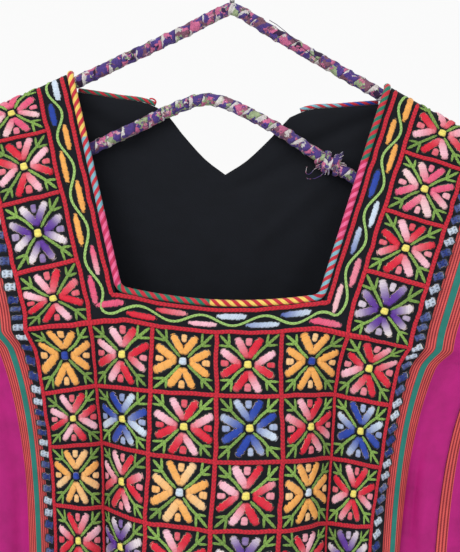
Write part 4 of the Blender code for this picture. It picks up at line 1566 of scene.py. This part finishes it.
class THOBE_OT_stems(bpy.types.Operator):
    """Stitch the green stems that cross each square and fork before its corners"""
    bl_idname = "thobe.stems"
    bl_label = "Stems"

    def execute(self, context):
        size, chance = thobe().stitch, random.Random(23)
        work = Stitching()
        for x, down, _, _ in flower_places():
            middle = np.array((x, down))
            for side in (-1, 1):
                for rise in (-1, 1):
                    corner = np.array((side, rise))
                    bend = np.array((stray(chance, STEM_STRAYS), stray(chance, STEM_STRAYS)))
                    fork = middle + corner * STEM_FORK + bend
                    root = middle + corner * STEM_START
                    knee = (fork + root) / 2 + np.array((side, -rise)) * stray(chance, STEM_STRAYS)
                    tip = middle + corner * (STEM_END + chance.uniform(-0.8, 0.6) * MM)
                    shade = dyed("green", chance.uniform(*STEM_TONES))
                    add_cord(work, (root, knee, fork, tip), size.stem_width, size.stem_height, shade,
                             STEM_STEP)
                    for way in ((0, rise), (side, 0)):
                        start = fork - corner * chance.uniform(0.5, 2.0) * MM
                        reach = PRONG_REACH * chance.uniform(0.75, 1.05)
                        end = start + np.array(way) * reach + corner * chance.uniform(0.2, 1.4) * MM
                        add_cord(work, (start, end), size.stem_width * PRONG_WIDTH, size.stem_height, shade,
                                 STEM_STEP)
        chain_material("Chain stitch", STEM_LINK)
        sew_on_panel(work, "flower_stems", "Chain stitch")
        return {"FINISHED"}


INNER_CORD = NECK_HALF + 6.8 * MM
INNER_CORD_DOWN = NECK_DEPTH + 5.8 * MM
CORD_TOP = 5.5 * MM
CORD_STRAYS = 0.6 * MM


def wobbled(route, chance):
    """A straight route drawn a little uneven, as by hand."""
    points = resample(route, 9 * MM)[0]
    moved = points + np.array([(stray(chance, CORD_STRAYS), stray(chance, CORD_STRAYS)) for _ in points])
    moved[0], moved[-1] = points[0], points[-1]
    return moved


class THOBE_OT_cords(bpy.types.Operator):
    """Couch the red cords: the grid, its borders and the line round the neck"""
    bl_idname = "thobe.cords"
    bl_label = "Red cords"

    def execute(self, context):
        size, chance = thobe().stitch, random.Random(5)
        work, routes = Stitching(), []
        for column in range(-3, 4):
            top = GRID_TOP if abs(column) < 2 else float(shoulder_cut(column * CELL)) + CORD_TOP
            routes.append(((column * CELL, top), (column * CELL, GRID_BOTTOM)))
        for row in range(GRID_ROWS + 1):
            routes.append(((-3 * CELL, GRID_TOP + row * CELL), (3 * CELL, GRID_TOP + row * CELL)))
        for row in (-1, -2, -3):
            for side in (-1, 1):
                down = GRID_TOP + row * CELL
                routes.append(((side * 2 * CELL, down), (side * 3 * CELL, down)))
        routes.append(((-INNER_CORD, CORD_TOP), (-INNER_CORD, INNER_CORD_DOWN), (INNER_CORD, INNER_CORD_DOWN),
                       (INNER_CORD, CORD_TOP)))
        for route in routes:
            shade = dyed("red", chance.uniform(0.92, 1.06))
            add_cord(work, wobbled(route, chance), size.cord_width, size.cord_height, shade)
        sew_on_panel(work, "panel_cords", "Chain stitch")
        return {"FINISHED"}


# The border round the neck: a wavy vine with a long pad in each hollow, listed from the left shoulder.
VINE_MIDDLE = (INNER_CORD + 2 * CELL) / 2
VINE_MIDDLE_DOWN = (INNER_CORD_DOWN + GRID_TOP) / 2
VINE_SWAY = 4.0 * MM
VINE_WIDTH = 2.4 * MM
VINE_HEIGHT = 1.3 * MM
VINE_STEP = 2.4 * MM
LONG_PAD_BESIDE = 3.6 * MM
LONG_PAD_HEIGHT = 1.2 * MM
LONG_PAD_WIDTHS = (5.4, 6.6)
LONG_PAD_LENGTHS = (1.02, 1.20)
VINE_PADS = (
    "blue_pale", "blue_deep", "orange_deep", "orange_deep", "orange_deep", "orange_deep", "pink", "pink",
    "pink", "red", "red", "red", "blue", "blue", "blue", "pink",
    "pink", "pink", "blue", "blue_pale", "blue", "orange_deep", "orange_deep", "orange_deep",
)


class THOBE_OT_vine(bpy.types.Operator):
    """Stitch the vine round the neck, with a long pad in each of its hollows"""
    bl_idname = "thobe.vine"
    bl_label = "Vine"

    def execute(self, context):
        chance = random.Random(8)
        corners = ((-VINE_MIDDLE, CORD_TOP), (-VINE_MIDDLE, VINE_MIDDLE_DOWN),
                   (VINE_MIDDLE, VINE_MIDDLE_DOWN), (VINE_MIDDLE, CORD_TOP))
        middle, places = resample(corners, 2 * MM)
        pitch = places[-1] / len(VINE_PADS)
        smooth = np.ones(7) / 7
        padded = np.pad(middle, ((3, 3), (0, 0)), mode="edge")
        middle = np.stack([np.convolve(padded[:, axis], smooth, mode="valid") for axis in (0, 1)], -1)
        slope = directions(middle)
        beside = square_to(slope)
        sway = VINE_SWAY * np.sin(math.pi * places / pitch)
        work, pads = Stitching(), Stitching()
        add_cord(work, middle + beside * sway[:, None], VINE_WIDTH, VINE_HEIGHT, dyed("vine"), VINE_STEP)
        form = model_pad("long pad")
        for number, word in enumerate(VINE_PADS):
            at = int(np.argmin(np.abs(places - (number + 0.5) * pitch)))
            away = -1 if number % 2 == 0 else 1
            if word in ("pink", "red", "blue"):
                deep, pale = shade_of(word)
                tones = variegated(deep, pale, chance.uniform(0.0, 0.9), stray(chance, 0.9))
            else:
                tones = one_tone(dyed(word))
            place = middle[at] + beside[at] * away * LONG_PAD_BESIDE
            length = pitch * chance.uniform(*LONG_PAD_LENGTHS)
            width = chance.uniform(*LONG_PAD_WIDTHS) * MM
            add_pad(pads, form, place, tuple(slope[at]), (width, length, LONG_PAD_HEIGHT), tones)
        sew_on_panel(work, "neck_vine", "Chain stitch")
        thread_material("Long stitches", 0.0016, 0.0)
        sew_on_panel(pads, "neck_pads", "Long stitches")
        return {"FINISHED"}


# The bars down the panel's edges: three dark ones, then two pale ones, and how each side slants.
BARS_IN_TURN = 5
DARK_BARS = 3
DARK_BAR = (0.0, 0.12)
PALE_BAR = (0.75, 1.0)
BAR_SLANT = {-1: 0.15, 1: 0.66}
BAR_STRAYS = 0.12
BAR_HEIGHT = 1.3 * MM


class THOBE_OT_side_bars(bpy.types.Operator):
    """Stitch the slanted blue and white bars along the panel's edges"""
    bl_idname = "thobe.side_bars"
    bl_label = "Side bars"

    def execute(self, context):
        size, chance = thobe().stitch, random.Random(31)
        work = Stitching()
        dark, pale = dyed("blue_deep", 0.55), dyed("blue_pale", 0.9)
        form = model_pad("bar")
        strip = (3 * CELL + size.cord_width / 2 + PANEL_HALF) / 2
        for side in (-1, 1):
            down = float(shoulder_cut(strip)) + 9 * MM
            number = 0
            while down < PANEL_BOTTOM - 6 * MM:
                first = chance.uniform(*(DARK_BAR if number % BARS_IN_TURN < DARK_BARS else PALE_BAR))
                tones = shaded(dark, pale, first, first + chance.uniform(-0.1, 0.2), 0.05)
                slant = BAR_SLANT[side] + stray(chance, BAR_STRAYS)
                heading = (side * math.cos(slant), -math.sin(slant))
                bar = (size.bar_width, size.bar_length * chance.uniform(0.88, 1.0), BAR_HEIGHT)
                add_pad(work, form, (side * strip, down), heading, bar, tones)
                down += size.bar_pitch * chance.uniform(0.93, 1.07)
                number += 1
        sew_on_panel(work, "side_bars", "Satin thread")
        return {"FINISHED"}


# The neck edging's pairs of thread colours, by how far along it from the left shoulder each ends.
FRONT_EDGING = (
    ("end", "one", "two"),
    (0.060, "red", "edge_gold"),
    (0.122, "red", "edge_blue"),
    (0.182, "edge_rose", "edge_pink"),
    (0.256, "red", "edge_green"),
    (0.334, "red", "edge_gold"),
    (0.392, "red", "edge_blue"),
    (0.458, "edge_rose", "edge_pink"),
    (0.530, "red", "edge_green"),
)
EDGING_PITCH = 8.2 * MM
EDGING_STARTS = 2
BACK_EDGING_PITCH = 9.0 * MM
BACK_EDGING_STARTS = 2
CORNER_ROUNDING = 5 * MM
EDGING_THREAD = 0.9 * MM
STRIPE_SHARPNESS = 3.5


def edging_material(name, pitch, starts):
    """Satin stitches slanted round a cord, in stripes of two colours."""
    made, tree, shader = new_material(name, 0.46, Sheen_Weight=0.15, Specular_IOR_Level=0.42)
    parts = mapped(tree, "thread")
    around = calc(tree, "MULTIPLY", parts[1], float(starts))
    turns = calc(tree, "SUBTRACT", calc(tree, "DIVIDE", parts[0], pitch), around)
    wave = calc(tree, "SINE", calc(tree, "MULTIPLY", turns, 2 * math.pi))
    share = times_plus(tree, wave, STRIPE_SHARPNESS, 0.5)
    share.node.use_clamp = True
    colour = mix(tree, share, painted(tree)["Color"], painted(tree, "dye_two")["Color"])
    lines = thread_lines(tree, calc(tree, "MULTIPLY", turns, pitch), EDGING_THREAD)
    # The threads' tone carries painted shade in the valleys between them.
    feed(tree, shader.inputs["Base Color"], shade_by(tree, colour, lines[1]))
    bump(tree, shader, lines[0], 0.2 * MM)
    return made


def edging_rope(name, route, radius, pairs, finish, node, pitch, starts):
    """A cord covered in slanted satin stitches, whose pairs of colours change along it."""
    ends = [row[0] for row in pairs[1:]]

    def dye(column):
        colours = np.array([dyed(row[column]) for row in pairs[1:]])
        return lambda place, turn: colours[np.minimum(np.searchsorted(ends, place), len(ends) - 1)]

    def radius_at(place, turn):
        ridge = -np.cos(4 * math.pi * (place / pitch - starts * turn))
        return radius * (0.98 + 0.03 * ridge)

    one, two = Stitching(), Stitching()
    for column, work in ((1, one), (2, two)):
        add_tube(work, route, radius_at, 24, dye(column), 1.2 * MM)
    made = one.lay_on(name, None, finish)
    paint(made.data, "dye_two", np.concatenate(two.dyes))
    return carried(made, "neck_rope", node)


def neck_outline():
    """The front neck edging's flat route, with its corners a little rounded."""
    route = [(-NECK_HALF, 0.0), (-NECK_HALF, NECK_DEPTH - CORNER_ROUNDING)]
    for side, start in ((-1, math.pi), (1, math.pi / 2)):
        for step in range(5):
            angle = start - step * math.pi / 8
            across = side * (NECK_HALF - CORNER_ROUNDING) + CORNER_ROUNDING * math.cos(angle)
            route.append((across, NECK_DEPTH - CORNER_ROUNDING + CORNER_ROUNDING * math.sin(angle)))
    return route + [(NECK_HALF, NECK_DEPTH - CORNER_ROUNDING), (NECK_HALF, 0.0)]


BACK_EDGINGS = {
    "left": (("end", "one", "two"), (0.030, "red", "edge_green"), (0.060, "red", "edge_green")),
    "right": (("end", "one", "two"), (0.030, "red", "blue_deep"), (0.060, "red", "edge_blue")),
}
# The left edging's loose end, across and up from the slit's corner in millimetres.
THREAD_END = ((0.0, 0.0), (0.3, 1.4), (-0.5, 2.7), (-1.8, 3.6), (-3.6, 3.9), (-5.0, 3.5))


class THOBE_OT_neck_edging(bpy.types.Operator):
    """Stitch the striped cords that edge the neck, front and back"""
    bl_idname = "thobe.neck_edging"
    bl_label = "Neck edging"

    def execute(self, context):
        finish = edging_material("Neck edging", EDGING_PITCH, EDGING_STARTS)
        flat, places = resample(neck_outline(), 1.5 * MM)
        across, down = flat[:, 0], flat[:, 1]
        route = front(across, down) + front_normal(across, down) * FRONT_ROPE_LIFT
        edging_rope("neck_rope_front", route, FRONT_ROPE, FRONT_EDGING, finish, "neck_edging_front",
                    EDGING_PITCH, EDGING_STARTS)
        narrow = edging_material("Back neck edging", BACK_EDGING_PITCH, BACK_EDGING_STARTS)
        for word, side in (("left", -1), ("right", 1)):
            across = side * NECK_HALF * np.linspace(0.98, SLIT_CORNER + 0.01, 30)
            down = back_neck_drop(across)
            route = back(across, down) + back_normal(across, down) * BACK_ROPE_LIFT
            edging_rope(f"neck_rope_back_{word}", route, BACK_ROPE, BACK_EDGINGS[word], narrow,
                        f"neck_edging_back_{word}", BACK_EDGING_PITCH, BACK_EDGING_STARTS)
        loop = Stitching()
        across = np.array(-NECK_HALF * (SLIT_CORNER + 0.01))
        end = back(across, back_neck_drop(across)) + np.array((0.0, -BACK_ROPE, 0.6 * MM))
        stub = end + np.array([(x, 0.0, z) for x, z in THREAD_END]) * MM
        add_tube(loop, stub, even(0.65 * MM), 8, even(dyed("red")), 0.7 * MM)
        carried(loop.lay_on("edging_loop", None, bpy.data.materials["Satin thread"]), "neck_rope")
        return {"FINISHED"}


def on_front(across, down, lift):
    sunk = crease_depth(FRONT_CREASES, across, down)
    return front(across, down) + front_normal(across, down) * (lift - sunk)[..., None]


def on_back(across, down, lift):
    sunk = crease_depth(BACK_CREASES, across, down)
    return back(across, down) + back_normal(across, down) * (lift - sunk)[..., None]


HEM_FOLD = 18 * MM
HEM_STITCH_PITCH = 8 * MM
SEAM_STITCH_PITCH = 5 * MM
STITCH_WIDTH = 0.8 * MM
STITCH_LENGTH = 3.0 * MM
STITCH_HEIGHT = 0.45 * MM


def running_stitches(work, form, route, pitch, dye):
    """Short stitches in a line, each with a gap after it."""
    points, places = resample(route, pitch)
    for point, way in zip(points[1:-1], directions(points)[1:-1]):
        add_pad(work, form, tuple(point), tuple(way), (STITCH_WIDTH, STITCH_LENGTH, STITCH_HEIGHT),
                one_tone(dye))


class THOBE_OT_sewing(bpy.types.Operator):
    """Sew the hems and the seams of the striped sides"""
    bl_idname = "thobe.sewing"
    bl_label = "Sewing"

    def execute(self, context):
        form = model_pad("stitch")
        dark, red = np.array(thobe().cloth.black[:]) * 2.2, dyed("red", 0.6)
        hem = HEM - HEM_FOLD
        for name, place, top in (("front_sewing", on_front, PANEL_BOTTOM + 4 * MM),
                                 ("back_sewing", on_back, 0.03)):
            work = Stitching()
            running_stitches(work, form, ((-BODY_HALF + 4 * MM, hem), (BODY_HALF - 4 * MM, hem)),
                             HEM_STITCH_PITCH, dark)
            for side in (-1, 1):
                seam = side * (PANEL_HALF + 1.2 * MM)
                running_stitches(work, form, ((seam, top), (seam, HEM - 4 * MM)), SEAM_STITCH_PITCH, red)
            carried(work.lay_on(name, place, bpy.data.materials["Satin thread"]), "black_cotton")
        return {"FINISHED"}


def arc(centre_x, centre_z, radius, start, end, steps):
    angle = np.linspace(start, end, steps + 1)
    return np.stack((centre_x + radius * np.cos(angle), np.zeros(steps + 1),
                     centre_z + radius * np.sin(angle)), -1)


def straight(end_x, shares):
    return np.array([(end_x * share, 0.0, arm_z(end_x * share)) for share in shares])


def arms_route():
    """The upper arms and the turned ends of the loop, from the left lower end to the right."""
    normal_x, normal_z = math.sin(ARM_SLOPE), -math.cos(ARM_SLOPE)
    up_left, up_right = math.pi / 2 + ARM_SLOPE, math.pi / 2 - ARM_SLOPE
    left = arc(-ARM_END_LEFT + END_TURN_LEFT * normal_x, arm_z(ARM_END_LEFT) + END_TURN_LEFT * normal_z,
               END_TURN_LEFT, up_left + math.pi, up_left, 24)
    right = arc(ARM_END_RIGHT - END_TURN_RIGHT * normal_x, arm_z(ARM_END_RIGHT) + END_TURN_RIGHT * normal_z,
                END_TURN_RIGHT, up_right, up_right - math.pi, 28)
    peak = arc(0, ARM_PEAK_Z - PEAK_ROUNDING, PEAK_ROUNDING, up_left, up_right, 8)
    route = np.concatenate((left, straight(-ARM_END_LEFT, (0.8, 0.6, 0.4, 0.2)), peak,
                            straight(ARM_END_RIGHT, (0.2, 0.4, 0.6, 0.8)), right))
    return tilt(route[:, 0], route[:, 1], route[:, 2])


def bar_route(arms):
    """The lower bar, bent up in its middle, on a smooth curve between the two ends of the arms."""
    left_in, right_in = unit(arms[0] - arms[1]), unit(arms[-1] - arms[-2])
    x = np.linspace(BAR[1][0], BAR[-1][0], 70)
    bar = np.stack((x, np.zeros(70), read_table(BAR, x, "z")), -1)
    left = [arms[0] + left_in * step for step in (SEAM_GAP, BAR_STRAIGHT)]
    right = [arms[-1] + right_in * step for step in (BAR_STRAIGHT, SEAM_GAP)]
    route = np.concatenate((left, bar[1:-1], right))
    smooth = np.array((1, 2, 1)) / 4
    for _ in range(2):
        for axis in range(3):
            route[1:-1, axis] = np.convolve(route[:, axis], smooth, mode="valid")
    return route


HOOK_STEM = (("x", "z"), (0.0085, -0.0335), (0.0030, -0.0400), (0.0, -0.0480))


def hook_route():
    """The hook, from its free tip over the seat and down to the arms' peak."""
    turn = arc(0, HOOK_WIRE - HOOK_TURN, HOOK_TURN, math.radians(205), math.radians(-40), 40)
    stem = np.array([(x, 0.0, z) for x, z in HOOK_STEM[1:]]
                    + [(0.0, 0.0, ARM_PEAK_Z + ARM_RADIUS + SEAM_GAP)])
    route = np.concatenate((turn, stem))
    fine, places = resample(route, 1.5 * MM)
    smooth = np.ones(5) / 5
    for axis in (0, 2):
        fine[2:-2, axis] = np.convolve(fine[:, axis], smooth, mode="valid")
    return tilt(fine[:, 0], fine[:, 1], fine[:, 2])


# The print of the strips: the colours of its patches, by how far through the range each starts.
BROAD_PRINT = ((0.0, "purple"), (0.38, "pink"), (0.56, "sage"), (0.68, "mauve"), (0.82, "purple"),
               (0.94, "plum"))
FINE_PRINT = ((0.0, "pink"), (0.22, "mauve"), (0.40, "blush"), (0.52, "sage"), (0.66, "purple"),
              (0.86, "plum"), (0.94, "white"))
BROAD_SCALE = 150.0
FINE_SCALE = 390.0
FINE_PATCH_SCALE = 130.0
FINE_FROM = 0.57
PRINT_STRENGTH = 0.85
STRIP_SWAY_SCALE = 70.0
STRIP_SWAY = 0.5
WARP_SCALE = 300.0
WARP_REACH = 0.007
FRAY_PATCH_SCALE = 110.0
FRAY_FROM = 0.44
FRAY_REACH = 3.4
# The wrinkles raise the bump and paint shade in their hollows; the lap paints a shadow just before each
# strip's edge.
WRINKLE_SCALE = 420.0
WRINKLE_SHADE = 0.9
WRINKLE_SHADE_DARKEST = 0.40
LAP_SHADOW_SLOPE = 6.0


def print_ramp(tree, moved, strip, scale, stops):
    """Patches of the print at one size, with new ones on each turn of the strip."""
    blooms = add(tree, "ShaderNodeTexVoronoi", moved, strip, scale, voronoi_dimensions="4D")
    chosen = add(tree, "ShaderNodeSeparateColor", blooms.outputs["Color"]).outputs[0]
    ramp = add(tree, "ShaderNodeValToRGB", chosen)
    ramp.color_ramp.interpolation = "CONSTANT"
    for position, word in stops:
        stop = ramp.color_ramp.elements[0] if position == 0.0 else ramp.color_ramp.elements.new(position)
        stop.color = (*getattr(thobe().hanger, word), 1.0)
    ramp.color_ramp.elements.remove(ramp.color_ramp.elements[-1])
    return ramp.outputs[0]


def wrap_material():
    """Strips of printed cotton wound on the wire: flowers and leaves, a new scrap at each turn, with a
    painted shadow before each strip's lapped edge and painted shade in its wrinkles.
    """
    finish = thobe().hanger
    made, tree, shader = new_material("Printed strips", 0.82, Sheen_Weight=0.12, Specular_IOR_Level=0.3)
    parts, place = mapped(tree, "thread"), object_place(tree)
    turns = calc(tree, "ADD", calc(tree, "DIVIDE", parts[0], finish.strip), parts[1])
    turns = times_plus(tree, noise(tree, place, STRIP_SWAY_SCALE, 3.0), STRIP_SWAY, turns)
    strip = calc(tree, "FLOOR", turns)
    edge = calc(tree, "SUBTRACT", turns, strip)
    warp = add(tree, "ShaderNodeTexNoise", place, None, WARP_SCALE, 3.0).outputs["Color"]
    moved = add(tree, "ShaderNodeVectorMath", place, shade_by(tree, warp, WARP_REACH)).outputs[0]
    broad = print_ramp(tree, moved, strip, BROAD_SCALE, BROAD_PRINT)
    fine = print_ramp(tree, moved, strip, FINE_SCALE, FINE_PRINT)
    patches = calc(tree, "GREATER_THAN", noise(tree, moved, FINE_PATCH_SCALE, 2.0), FINE_FROM)
    colour = mix(tree, calc(tree, "MULTIPLY", patches, PRINT_STRENGTH), broad, fine)
    frays = calc(tree, "SUBTRACT", noise(tree, place, FRAY_PATCH_SCALE, 1.0), FRAY_FROM)
    reach = calc(tree, "MULTIPLY", frays, FRAY_REACH)
    threads = calc(tree, "MULTIPLY", reach, noise(tree, place, FUZZ_SCALE, 2.0))
    frayed = calc(tree, "LESS_THAN", edge, threads)
    colour = mix(tree, calc(tree, "MULTIPLY", frayed, PRINT_STRENGTH), colour, finish.white)
    cotton = weave(tree, place, 0.6 * MM)
    wrinkles = noise(tree, place, WRINKLE_SCALE, 3.0)
    # Painted shadow before the strip's lapped edge, and painted shade in the wrinkles' hollows.
    lap_shadow = times_plus(tree, soft_limit(tree, calc(tree, "SUBTRACT", 1.0, edge), LAP_SHADOW_SLOPE), 0.5, 0.5)
    tone = calc(tree, "MULTIPLY", lap_shadow, times_plus(tree, wrinkles, WRINKLE_SHADE, WRINKLE_SHADE_DARKEST))
    feed(tree, shader.inputs["Base Color"], shade_by(tree, colour, calc(tree, "MULTIPLY", tone, cotton[1])))
    bump(tree, shader, times_plus(tree, wrinkles, 4.0, cotton[0]), 0.3 * MM)
    return made


def wire_material():
    """Plain drawn wire with fine lines along it."""
    made, tree, shader = new_material("Drawn wire", 0.34, Metallic=1.0)
    stretched = add(tree, "ShaderNodeMapping", add(tree, "ShaderNodeUVMap", uv_map="thread").outputs[0])
    feed(tree, stretched.inputs["Scale"], (60.0, 40.0, 1.0))
    lines = noise(tree, stretched.outputs[0], 1.0, 3.0)
    colour = shade_by(tree, thobe().hanger.wire, times_plus(tree, lines, 0.3, 0.82))
    feed(tree, shader.inputs["Base Color"], colour)
    feed(tree, shader.inputs["Roughness"], times_plus(tree, lines, 0.25, 0.2))
    bump(tree, shader, lines, 0.05 * MM)
    return made


# The winding: how full the wire is, its two rounds of lumps and the wrinkles round it.
WOUND_SHARE = 0.93
WOUND_SIDES = 22
WINDING_STEP = 1.5 * MM
LUMPS = (310, 143)
LUMP_HEIGHT = 0.30 * MM
WRINKLES = 900
WRINKLE_HEIGHT = 0.16 * MM

# The knot on the lower bar: its place across, its rings, its frayed ends and its loose threads.
KNOT_PLACE = 0.0786
KNOT_RINGS = (
    ("offset", "radius", "thickness", "lean", "sideways"),
    (-0.0070, 0.0048, 0.0025, 0.5, 0.0002),
    (-0.0030, 0.0058, 0.0032, -0.35, -0.0010),
    (0.0020, 0.0060, 0.0034, 0.3, 0.0005),
    (0.0065, 0.0048, 0.0026, -0.4, -0.0004),
)
KNOT_ENDS = (
    ("x", "z", "reach_x", "reach_z", "forward"),
    (-0.0080, -0.0030, -0.0045, -0.0030, 0.0050),
    (0.0070, 0.0050, 0.0040, 0.0035, 0.0045),
    (-0.0020, -0.0070, -0.0010, -0.0035, 0.0050),
    (0.0040, -0.0060, 0.0030, -0.0020, 0.0050),
    (-0.0040, 0.0065, -0.0020, 0.0020, 0.0040),
    (0.0100, -0.0020, 0.0040, -0.0010, 0.0045),
)
STRANDS = 11
SPREAD = 1.9 * MM
LOOSE_RADIUS = 0.28 * MM
LOOSE_THREADS = (
    ((-0.0060, -0.0030), (-0.0120, -0.0050), (-0.0170, -0.0105), (-0.0200, -0.0092), (-0.0190, -0.0040)),
    ((-0.0030, -0.0070), (-0.0075, -0.0110), (-0.0120, -0.0135), (-0.0180, -0.0142), (-0.0190, -0.0130)),
)
ARM_THREAD = ((0.0280, -0.0850), (0.0340, -0.0885), (0.0410, -0.0940), (0.0480, -0.1000), (0.0540, -0.1060),
              (0.0620, -0.1120), (0.0690, -0.1175))


class THOBE_OT_hanger(bpy.types.Operator):
    """Wind the hanger with printed strips, knot them on the lower bar and bend the bare hook"""
    bl_idname = "thobe.hanger"
    bl_label = "Hanger"

    def execute(self, context):
        settings = thobe().hanger
        finish = wrap_material()
        white = even((1.0, 1.0, 1.0))

        def wound(place, turn):
            phase = (place / settings.strip + turn) % 1.0
            around = 2 * math.pi * turn
            lumps = np.sin(place * LUMPS[0] + around) * np.sin(place * LUMPS[1] + 2.0) * LUMP_HEIGHT
            wrinkle = np.sin(place * WRINKLES + 3 * around) * WRINKLE_HEIGHT
            return ARM_RADIUS * WOUND_SHARE + settings.proud * phase ** 1.5 + lumps + wrinkle

        arms = arms_route()
        for name, route, node in (("arms_wrap", arms, "hanger_arms"),
                                  ("bar_wrap", bar_route(arms), "hanger_bar")):
            work = Stitching()
            add_tube(work, route, wound, WOUND_SIDES, white, WINDING_STEP)
            carried(work.lay_on(name, None, finish), "flowered_wrap", node)
        self.tie_knot(finish, white)
        loose = Stitching()
        add_tube(loose, [(x, -ARM_RADIUS - 0.8 * MM, z) for x, z in ARM_THREAD], even(LOOSE_RADIUS), 5,
                 even(settings.plum), WINDING_STEP)
        carried(loose.lay_on("arm_thread", None, bpy.data.materials["Satin thread"]), "flowered_wrap")
        work = Stitching()
        add_tube(work, hook_route(), even(HOOK_WIRE), 16, white, WINDING_STEP)
        carried(work.lay_on("hook", None, wire_material()), "hook_wire", "hanger_hook")
        return {"FINISHED"}

    def tie_knot(self, finish, white):
        """Knot the strip's end round the lower bar, with frayed ends and loose threads."""
        chance = random.Random(3)
        here = np.array((KNOT_PLACE, 0.0, float(read_table(BAR, KNOT_PLACE, "z"))))
        beyond = KNOT_PLACE + 4 * MM
        ahead = unit(np.array((beyond, 0.0, float(read_table(BAR, beyond, "z")))) - here)
        up = np.array((-ahead[2], 0.0, ahead[0]))
        out = np.array((0.0, -1.0, 0.0))
        knot = Stitching()
        for offset, radius, thickness, lean, sideways in KNOT_RINGS[1:]:
            angle = np.linspace(0, 2 * math.pi, 40)
            ring = (here + ahead * (offset + lean * radius * np.cos(angle))[:, None]
                    + up * (radius * np.cos(angle) + sideways)[:, None]
                    + out * (radius * np.sin(angle))[:, None])

            def lumpy(place, turn, size=thickness):
                return size * (0.85 + 0.18 * np.sin(place * 420 + 9 * turn) + 0.10 * np.sin(place * 1100))

            add_tube(knot, ring, lumpy, 12, white, 1.4 * MM)
        for x, z, reach_x, reach_z, forward in KNOT_ENDS[1:]:
            root = here + np.array((x * 0.5, -forward * 0.6, z * 0.5))
            for _ in range(STRANDS):
                spread = np.array([chance.uniform(-1, 1) for axis in range(3)]) * SPREAD
                tip = here + np.array((x + reach_x * 0.5, -forward - 1.0 * MM, z + reach_z * 0.5)) + spread
                middle = (root + tip) / 2 + spread * 0.4
                add_tube(knot, (root, middle, tip), even(LOOSE_RADIUS), 5, white, WINDING_STEP)
        for number, path in enumerate(LOOSE_THREADS):
            points = np.array([here + np.array((x, -0.006 - 0.001 * number, z)) for x, z in path])
            fine = np.stack([np.interp(np.linspace(0, 1, 30), np.linspace(0, 1, len(points)), points[:, axis])
                             for axis in range(3)], -1)
            for _ in range(3):
                fine[1:-1] = (fine[:-2] + 2 * fine[1:-1] + fine[2:]) / 4
            add_tube(knot, fine, even(0.22 * MM), 5, white, 1.0 * MM)
        carried(knot.lay_on("bar_knot", None, finish), "flowered_wrap")


def floor_material():
    """Plain pale paper."""
    made, tree, shader = new_material("Pale floor", 0.9)
    tone = times_plus(tree, noise(tree, object_place(tree), 40.0, 3.0), 0.04, 0.96)
    feed(tree, shader.inputs["Base Color"], shade_by(tree, (0.86, 0.86, 0.86), tone))
    return made


SOFT_LIGHTS = (
    ("name", "place", "size", "share"),
    ("Key light", (-0.9, -1.6, 0.75), 1.6, "key"),
    ("Fill light", (1.2, -1.5, -0.1), 1.8, "fill"),
    ("Back light", (0.3, 1.8, 0.6), 1.6, "fill"),
)


class THOBE_OT_stage(bpy.types.Operator):
    """Set the floor, the soft lights, the white surroundings and the camera"""
    bl_idname = "thobe.stage"
    bl_label = "Stage"

    def execute(self, context):
        settings = thobe().stage
        bpy.ops.object.select_all(action="DESELECT")
        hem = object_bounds()[0][2]
        bpy.ops.mesh.primitive_plane_add(size=14, location=(0, 0, hem - settings.floor_drop))
        floor = context.object
        floor.name = "floor"
        floor.data.materials.append(floor_material())
        floor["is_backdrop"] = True
        for name, place, size, share in SOFT_LIGHTS[1:]:
            light = bpy.data.lights.new(name, "AREA")
            light.energy = getattr(settings, share)
            light.size = size
            lamp = bpy.data.objects.new(name, light)
            lamp.location = place
            aim = Vector((0, 0, -0.35)) - lamp.location
            lamp.rotation_euler = aim.to_track_quat("-Z", "Y").to_euler()
            context.scene.collection.objects.link(lamp)
        world = context.scene.world or bpy.data.worlds.new("World")
        context.scene.world = world
        world.use_nodes = True
        sky = world.node_tree.nodes["Background"]
        sky.inputs["Color"].default_value = (1.0, 1.0, 1.0, 1.0)
        seen = world.node_tree.nodes.new("ShaderNodeLightPath").outputs["Is Camera Ray"]
        strength = times_plus(world.node_tree, seen, settings.seen - settings.world, settings.world)
        feed(world.node_tree, sky.inputs["Strength"], strength)
        context.scene.view_settings.view_transform = "Standard"
        camera = bpy.data.cameras.new("Camera")
        camera.lens = settings.lens
        camera.sensor_width = 36.0
        camera.clip_start = 0.02
        eye = bpy.data.objects.new("Camera", camera)
        eye.location = settings.camera
        eye.rotation_euler = (math.pi / 2, settings.roll, 0)
        context.scene.collection.objects.link(eye)
        context.scene.camera = eye
        return {"FINISHED"}


STEPS = ("front", "chest_panel", "back", "gores", "sleeves", "flowers", "stems", "cords", "vine", "side_bars",
         "neck_edging", "sewing", "hanger", "stage")


class THOBE_PT_steps(bpy.types.Panel):
    """The steps that make the dress, in order"""
    bl_idname = "THOBE_PT_steps"
    bl_label = "Stitched Thobe"
    bl_space_type = "VIEW_3D"
    bl_region_type = "UI"
    bl_category = "Thobe"

    def draw(self, context):
        for step in STEPS:
            self.layout.operator(f"thobe.{step}")
        settings = context.scene.thobe
        for part in (settings.cloth, settings.thread, settings.stitch, settings.hanger, settings.stage):
            box = self.layout.box()
            for name in part.__annotations__:
                box.prop(part, name)


CLASSES = (ClothColours, ThreadColours, StitchSizes, HangerFinish, StageSettings, Thobe, THOBE_OT_front,
           THOBE_OT_chest_panel, THOBE_OT_back, THOBE_OT_gores, THOBE_OT_sleeves, THOBE_OT_flowers,
           THOBE_OT_stems, THOBE_OT_cords, THOBE_OT_vine, THOBE_OT_side_bars, THOBE_OT_neck_edging,
           THOBE_OT_sewing, THOBE_OT_hanger, THOBE_OT_stage, THOBE_PT_steps)


def register():
    for made in CLASSES:
        bpy.utils.register_class(made)
    bpy.types.Scene.thobe = bpy.props.PointerProperty(type=Thobe)


def unregister():
    del bpy.types.Scene.thobe
    for made in reversed(CLASSES):
        bpy.utils.unregister_class(made)


def plain(box):
    return [list(map(float, corner)) for corner in box]


def main():
    register()
    solid_box = plain(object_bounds())
    for step in STEPS:
        getattr(bpy.ops.thobe, step)()
    {"solids": solid_box, "dressed": plain(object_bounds())}


if __name__ == "__main__":
    main()
